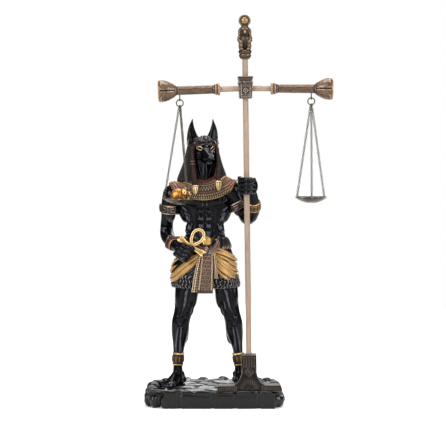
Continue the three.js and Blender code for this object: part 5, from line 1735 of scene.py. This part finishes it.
def build_columns():
    """Both papyrus columns of the beam: a ringed collar, a ribbed shaft and a bell of leaves."""
    profile = np.array(COLUMN_PROFILE, float)
    lengths = np.concatenate([[0], np.cumsum(np.hypot(*np.diff(profile, axis=0).T))])
    steps, sides = GRID["column"]
    wanted = np.linspace(0, lengths[-1], steps)
    radius = np.interp(wanted, lengths, profile[:, 0])[:, None]
    along = np.interp(wanted, lengths, profile[:, 1])[:, None]
    turn = round_turn(sides)[None, :]
    shaft = plateau(along, 6.4, 34, 1)
    bell = plateau(along, 36, 47.9, 1.4) * (wanted[:, None] < lengths[-3])
    ribs = shaft * 0.3 * (np.abs(np.cos(turn * 8)) ** 0.5 - 0.6)
    leaves = turn / (2 * math.pi) * COLUMN_LEAVES
    cell = (leaves % 1 - 0.5) * 2
    share = np.clip((along - 35.5) / 12, 0, 1)
    leaf_edge = 0.98 * np.sqrt(np.clip(1 - share**2.2, 0, 1))
    leaf = plateau(np.abs(cell) - leaf_edge, -9, 0, 0.14)
    inner = np.abs(((leaves + 0.5) % 1 - 0.5) * 2)
    second_edge = 0.7 * np.sqrt(np.clip(1 - ((share - 0.2) / 0.8) ** 2, 0, 1))
    second = plateau(inner - second_edge, -9, 0, 0.14) * (1 - leaf)
    veins = np.abs(np.cos(leaves * 2 * math.pi * 2.5))
    groove = plateau(np.abs(cell), 0.9, 2, 0.08)
    heights = bell * (leaf * 0.45 + second * 0.15 + veins * 0.12 - groove * 1.1)
    beads = ovals(turn / (2 * math.pi), along, 1 / 26, 3, 0.4 / 26, 0.5) * 0.3
    wide = radius * (1 - 0.02 * shaft) + ribs + heights + beads
    points = np.stack([along + 0 * turn, wide * np.sin(turn), wide * np.cos(turn)], axis=-1)
    for name, mirror in SIDES:
        bm = bmesh.new()
        add_grid(bm, points + np.array([COLUMN_START, 0, 0]), tint=np.broadcast_to(bell, points.shape[:2]))
        put(bm, beam_matrix(mirror))
        node = f"papyrus_column_{name}"
        finish_bmesh(node, bm, "antique_bronze", "antique_bronze", replaces=[node], reach=5, sharp=60)


def build_chains():
    """The screw eyes, the rings and the chains, link by link."""
    wire = wanted_size("link_wire")
    oval = circle_path(LINK["length"] / 2 - wire, 12, flat="YZ")
    oval[:, 1] *= LINK["width"] / LINK["length"]
    link_points = loop_points(oval, (1, 0, 0), wire, section=5)
    pitch = LINK["length"] - 4 * wire + LINK["play"]
    for name, mirror in SIDES:
        hanger = hanger_matrix(mirror)
        bm = bmesh.new()
        add_rod(bm, SCREW_EYE["shaft"], -2, 3.4)
        eye = circle_path(SCREW_EYE["radius"], 32, (0, 0, -SCREW_EYE["below"]), flat="YZ")
        add_grid(bm, loop_points(eye, (1, 0, 0), SCREW_EYE["wire"]), closed=True)
        put(bm, hanger)
        node = f"screw_eye_{name}"
        finish_bmesh(node, bm, "chain_metal", "chain_metal", replaces=[node])
        bm = bmesh.new()
        ring = circle_path(RING["radius"], 56, (0, 0, -RING["below"]))
        add_grid(bm, loop_points(ring, FRONT, wanted_size("ring_wire")), closed=True)
        put(bm, hanger)
        node = f"ring_{name}"
        finish_bmesh(node, bm, "chain_metal", "chain_metal", replaces=[node])
        for count, angle in enumerate(PAN_LUGS[name], 1):
            outward_x, outward_y = math.cos(angle * DEGREE), math.sin(angle * DEGREE)
            top = Vector((outward_x * 0.5, outward_y * 0.3, -RING["below"] - RING["radius"] - 0.1))
            bottom = Vector((outward_x * PAN_HOLES, outward_y * PAN_HOLES, 1.5 - PAN_DROP))
            links = round((bottom - top).length / pitch)
            down = (bottom - top).to_track_quat("-Z", "Y").to_matrix().to_4x4()
            bm = bmesh.new()
            template = add_grid(bm, link_points, closed=True)
            faces = list({face for vert in template for face in vert.link_faces})
            for link in range(links + 1):
                spot = top.lerp(bottom, link / links)
                jitter = LINK["twist"] * math.sin(link * 2.1 + count)
                matrix = Matrix.Translation(spot) @ down @ turned((90 * (link % 2) + 45 + jitter, "Z"))
                copy = bmesh.ops.duplicate(bm, geom=faces)["geom"]
                verts = [item for item in copy if isinstance(item, bmesh.types.BMVert)]
                bmesh.ops.transform(bm, verts=verts, matrix=matrix)
            bmesh.ops.delete(bm, geom=template, context="VERTS")
            put(bm, hanger)
            node = f"chain_{name}_{count}"
            finish_bmesh(node, bm, "chain_metal", "chain_metal", replaces=[node], reach=3)


def build_pans():
    """Both shallow pans, with a rolled rim and three small loops for the chains."""
    steps, sides = GRID["pan"]
    points = spun(smooth_rows(PAN_PROFILE, steps), sides)
    for name, mirror in SIDES:
        bm = bmesh.new()
        hammered = ripple(points.reshape(-1, 3), 3.4, 11 + mirror, octaves=2).reshape(points.shape[:2])
        add_grid(bm, raised(points, hammered * 0.09))
        for angle in PAN_LUGS[name]:
            out = Vector((math.cos(angle * DEGREE), math.sin(angle * DEGREE), 0))
            lug = circle_path(PAN_LUG["radius"], 20, (PAN_HOLES, 0, PAN_LUG["above"]))
            loop = [list(out * x + Vector(UP) * z) for x, _, z in lug]
            add_grid(bm, loop_points(loop, np.cross(out, UP), PAN_LUG["wire"], section=8), closed=True)
        put(bm, hanger_matrix(mirror) @ Matrix.Translation((0, 0, -PAN_DROP)))
        node = f"scale_pan_{name}"
        finish_bmesh(node, bm, "pan_bronze", "antique_bronze", replaces=[node], reach=8)


def build_heart():
    """The golden heart that lies in the left pan."""
    bm = bmesh.new()
    for at, radii, tilt in HEART_BALLS:
        add_ball(bm, at, radii, tilt)
    for rows in HEART_VESSELS:
        add_tube(bm, rows, 20)
    clay = Clay(bm, VOXEL["heart"])
    clay.draw(HEART_STROKES)
    clay.raise_by(0.12 * ripple(clay.points, 2.6, 21))
    tint = np.clip((clay.points[:, 0] - 2.5) / 5, 0, 1)
    clay.points[:, 2] *= HEART_STRETCH
    clay.place(hanger_matrix(-1) @ Matrix.Translation((0, 0, PAN_FLOOR - PAN_DROP)))
    finish_clay("golden_heart", clay, "heart_paint", "gold_paint", replaces=["golden_heart"], tint=tint)


def stage():
    scene = bpy.context.scene
    settings = scene.figurine_stage
    camera = bpy.data.objects.new("camera", bpy.data.cameras.new("camera"))
    camera.location = Vector(CAMERA_AT) * MM
    camera.rotation_euler = ((90 - CAMERA_PITCH) * DEGREE, 0, 0)
    camera.data.sensor_width = SENSOR
    camera.data.lens = FOCAL_PIXELS / IMAGE_PIXELS * SENSOR
    camera.data.clip_end = 20
    scene.collection.objects.link(camera)
    scene.camera = camera
    scene.view_settings.view_transform = "Standard"

    bm = bmesh.new()
    bmesh.ops.create_circle(bm, cap_ends=True, segments=96, radius=settings.floor_radius)
    mesh = bpy.data.meshes.new("floor")
    bm.to_mesh(mesh)
    bm.free()
    floor = bpy.data.objects.new("floor", mesh)
    scene.collection.objects.link(floor)
    pale = Finish("pale_floor", Base_Color=(*settings.floor_colour, 1), Roughness=0.6)
    pale.bump(pale.noise(3.0), 0.02, strength=0.2)
    mesh.materials.append(pale.material)

    for name, at, size, power in LIGHTS:
        lamp = bpy.data.lights.new(name, "AREA")
        lamp.shape = "RECTANGLE"
        lamp.size, lamp.size_y = size
        lamp.energy = power * settings.light_power
        lamp_object = bpy.data.objects.new(name, lamp)
        lamp_object.location = at
        aim = Vector((0, 0, 0.15)) - Vector(at)
        lamp_object.rotation_euler = aim.to_track_quat("-Z", "Y").to_euler()
        scene.collection.objects.link(lamp_object)

    world = bpy.data.worlds.new("studio")
    scene.world = world
    world.use_nodes = True
    nodes, links = world.node_tree.nodes, world.node_tree.links
    nodes.clear()
    path = nodes.new("ShaderNodeLightPath")
    strength = nodes.new("ShaderNodeMapRange")
    strength.inputs["To Min"].default_value = settings.world_light
    strength.inputs["To Max"].default_value = settings.world_shown
    background = nodes.new("ShaderNodeBackground")
    background.inputs["Color"].default_value = (1, 1, 1, 1)
    links.new(path.outputs["Is Camera Ray"], strength.inputs["Value"])
    links.new(strength.outputs["Result"], background.inputs["Strength"])
    links.new(background.outputs["Background"], nodes.new("ShaderNodeOutputWorld").inputs["Surface"])


def paint(name):
    """The finish of this name, made when it is first wanted."""
    if name not in FINISHES:
        looks = bpy.context.scene.figurine_looks
        if name in WOODS:
            FINISHES[name] = wood(name, WOODS[name], (*looks.wood, 1))
            return FINISHES[name]
        recipe = PAINTS[name]
        recipe = {key: colour(*value) if isinstance(value, tuple) else value for key, value in recipe.items()}
        if name in MAIN_COLOURS:
            recipe["body"] = (*getattr(looks, MAIN_COLOURS[name]), 1)
        FINISHES[name] = painted(name, **recipe)
    return FINISHES[name]


def build_bare_body():
    body = body_clay()
    finish_clay("anubis_body", body, "black_resin", "painted_black", replaces=["anubis_figure"], reach=6)


def build_hands():
    right = Matrix.Translation(RIGHT_GRIP) @ turned((32, "Y"), (-20, "Z"))
    left = Matrix.Translation(LEFT_GRIP) @ turned((-STAFF_LEAN, "Y"), (-40, "Z"))
    hands = [("right_hand", right, -1, RIGHT_WRIST), ("left_hand", left, 1, LEFT_WRIST)]
    for name, matrix, mirror, wrist in hands:
        finish_clay(name, hand_clay(matrix, mirror, wrist), "black_resin", "painted_black", reach=10)


def build_legs():
    for name, *shape in LEGS:
        finish_clay(name, leg_clay(*shape), "black_resin", "painted_black", reach=5)


def build_head():
    clay = head_clay()
    clay.place(head_matrix())
    finish_clay("jackal_head", clay, "black_resin", "painted_black", reach=8)


def colour_property(name, description, value):
    """A linear colour as a setting of the sidebar."""
    return bpy.props.FloatVectorProperty(
        name=name, description=description, default=value[:3], subtype="COLOR", size=3, min=0, max=1
    )


def length_property(name, description, millimetres):
    return bpy.props.FloatProperty(
        name=name, description=description, default=millimetres * MM, min=0.1 * MM, unit="LENGTH", precision=5
    )


class FigurineStage(bpy.types.PropertyGroup):
    """The floor and the light of the picture"""

    floor_radius: bpy.props.FloatProperty(
        name="Floor Radius", description="How far the floor reaches", default=0.8, min=0.5, unit="LENGTH"
    )
    floor_colour: colour_property("Floor", "Colour of the floor", FLOOR_SHADE)
    light_power: bpy.props.FloatProperty(
        name="Light", description="Strength of all the lamps", default=1, min=0
    )
    world_light: bpy.props.FloatProperty(
        name="Ambient", description="Light from all around", default=0.14, min=0
    )
    world_shown: bpy.props.FloatProperty(
        name="Background", description="Brightness of the background", default=1, min=0
    )


class FigurineLooks(bpy.types.PropertyGroup):
    """The main colours of the figurine"""

    skin: colour_property("Skin", "Black paint of the skin", colour(6, 6, 9))
    gold: colour_property("Gold", "Gold paint of the cross and the medallion", colour(176, 140, 80))
    bronze: colour_property("Bronze", "Bronze paint of the columns and the ear beads", colour(102, 80, 62))
    stone: colour_property("Stone", "Black paint of the plinth", colour(9, 9, 10))
    wood: colour_property("Wood", "Bare wood of the rods", colour(146, 126, 110))


class FigurineSizes(bpy.types.PropertyGroup):
    """Sizes of single pieces"""

    dowel_radius: length_property("Dowel Radius", "Radius of the wooden rods", DOWEL_RADIUS)
    ring_wire: length_property("Ring Wire", "Half the thickness of the two rings", RING["wire"])
    link_wire: length_property("Link Wire", "Half the thickness of a chain link", LINK["wire"])
    cross_ribbon: length_property("Cross Ribbon", "Half the width of the looped cross", CROSS_RIBBON)
    stone_joint: length_property("Stone Joint", "How wide the flagstones' rounded edges are", STONE_JOINT)
    strands: bpy.props.IntProperty(
        name="Wig Strands", description="Strands of the wig cloth", default=WIG_STRANDS, min=12, max=90
    )


class FIGURINE_OT_stage(bpy.types.Operator):
    """Makes the camera, the floor and the lights"""

    bl_idname = "figurine.stage"
    bl_label = "Stage"

    def execute(self, context):
        stage()
        return {"FINISHED"}


class FIGURINE_OT_bare_body(bpy.types.Operator):
    """Models the bare torso and arms, both closed hands and both legs"""

    bl_idname = "figurine.bare_body"
    bl_label = "Bare Body"

    def execute(self, context):
        build_bare_body()
        build_hands()
        build_legs()
        return {"FINISHED"}


class FIGURINE_OT_head(bpy.types.Operator):
    """Models the jackal's head"""

    bl_idname = "figurine.head"
    bl_label = "Head"

    def execute(self, context):
        build_head()
        return {"FINISHED"}


class FIGURINE_OT_jewellery(bpy.types.Operator):
    """Models the armlets, bracelets, anklets and the broad collar"""

    bl_idname = "figurine.jewellery"
    bl_label = "Jewellery"

    def execute(self, context):
        build_bands()
        build_collar()
        return {"FINISHED"}


class FIGURINE_OT_wig(bpy.types.Operator):
    """Models the wig cloth, the bound locks and the ear beads"""

    bl_idname = "figurine.wig"
    bl_label = "Wig"

    def execute(self, context):
        build_wig_cloth()
        build_locks()
        build_brow()
        return {"FINISHED"}


class FIGURINE_OT_eyes(bpy.types.Operator):
    """Models the outlined eyes"""

    bl_idname = "figurine.eyes"
    bl_label = "Eyes"

    def execute(self, context):
        build_eyes()
        return {"FINISHED"}


class FIGURINE_OT_kilt(bpy.types.Operator):
    """Models the kilt, the sash, the front panel and the belt"""

    bl_idname = "figurine.kilt"
    bl_label = "Kilt"

    def execute(self, context):
        build_kilt_cloth()
        build_sash()
        build_front_panel()
        build_belt()
        return {"FINISHED"}


class FIGURINE_OT_looped_cross(bpy.types.Operator):
    """Models the looped cross in the lower fist"""

    bl_idname = "figurine.looped_cross"
    bl_label = "Looped Cross"

    def execute(self, context):
        build_looped_cross()
        return {"FINISHED"}


class FIGURINE_OT_plinth(bpy.types.Operator):
    """Models the plinth with its flagstones, bricks and boulders"""

    bl_idname = "figurine.plinth"
    bl_label = "Plinth"

    def execute(self, context):
        build_plinth()
        return {"FINISHED"}


class FIGURINE_OT_staff(bpy.types.Operator):
    """Models the staff's carved foot, the wooden rods and the crosshead"""

    bl_idname = "figurine.staff"
    bl_label = "Staff"

    def execute(self, context):
        build_staff_foot()
        build_dowels()
        build_crosshead()
        return {"FINISHED"}


class FIGURINE_OT_finial(bpy.types.Operator):
    """Models the baboon and the moon disc"""

    bl_idname = "figurine.finial"
    bl_label = "Finial"

    def execute(self, context):
        build_finial()
        return {"FINISHED"}


class FIGURINE_OT_columns(bpy.types.Operator):
    """Models both papyrus columns of the beam"""

    bl_idname = "figurine.columns"
    bl_label = "Papyrus Columns"

    def execute(self, context):
        build_columns()
        return {"FINISHED"}


class FIGURINE_OT_scales(bpy.types.Operator):
    """Models the screw eyes, the rings, the chains and both pans"""

    bl_idname = "figurine.scales"
    bl_label = "Scales"

    def execute(self, context):
        build_chains()
        build_pans()
        return {"FINISHED"}


class FIGURINE_OT_heart(bpy.types.Operator):
    """Models the golden heart"""

    bl_idname = "figurine.heart"
    bl_label = "Heart"

    def execute(self, context):
        build_heart()
        return {"FINISHED"}


OPERATORS = [
    FIGURINE_OT_stage, FIGURINE_OT_bare_body, FIGURINE_OT_head, FIGURINE_OT_jewellery, FIGURINE_OT_wig,
    FIGURINE_OT_eyes, FIGURINE_OT_kilt, FIGURINE_OT_looped_cross, FIGURINE_OT_plinth, FIGURINE_OT_staff,
    FIGURINE_OT_finial, FIGURINE_OT_columns, FIGURINE_OT_scales, FIGURINE_OT_heart,
]


class FIGURINE_PT_sidebar(bpy.types.Panel):
    """The figurine's settings and operators"""

    bl_idname = "FIGURINE_PT_sidebar"
    bl_label = "Painted Figurine"
    bl_space_type = "VIEW_3D"
    bl_region_type = "UI"
    bl_category = "Figurine"

    def draw(self, context):
        for name, group in GROUPS.items():
            box = self.layout.box()
            for setting in group.__annotations__:
                box.prop(getattr(context.scene, name), setting)
        for operator in OPERATORS:
            self.layout.operator(operator.bl_idname)


GROUPS = {"figurine_stage": FigurineStage, "figurine_looks": FigurineLooks, "figurine_sizes": FigurineSizes}
CLASSES = [*GROUPS.values(), *OPERATORS, FIGURINE_PT_sidebar]


def register():
    for cls in CLASSES:
        bpy.utils.register_class(cls)
    for name, group in GROUPS.items():
        setattr(bpy.types.Scene, name, bpy.props.PointerProperty(type=group))


def unregister():
    for name in GROUPS:
        delattr(bpy.types.Scene, name)
    for cls in reversed(CLASSES):
        bpy.utils.unregister_class(cls)


def main():
    register()
    for operator in OPERATORS:
        group, name = operator.bl_idname.split(".")
        getattr(getattr(bpy.ops, group), name)()


if __name__ == "__main__":
    main()
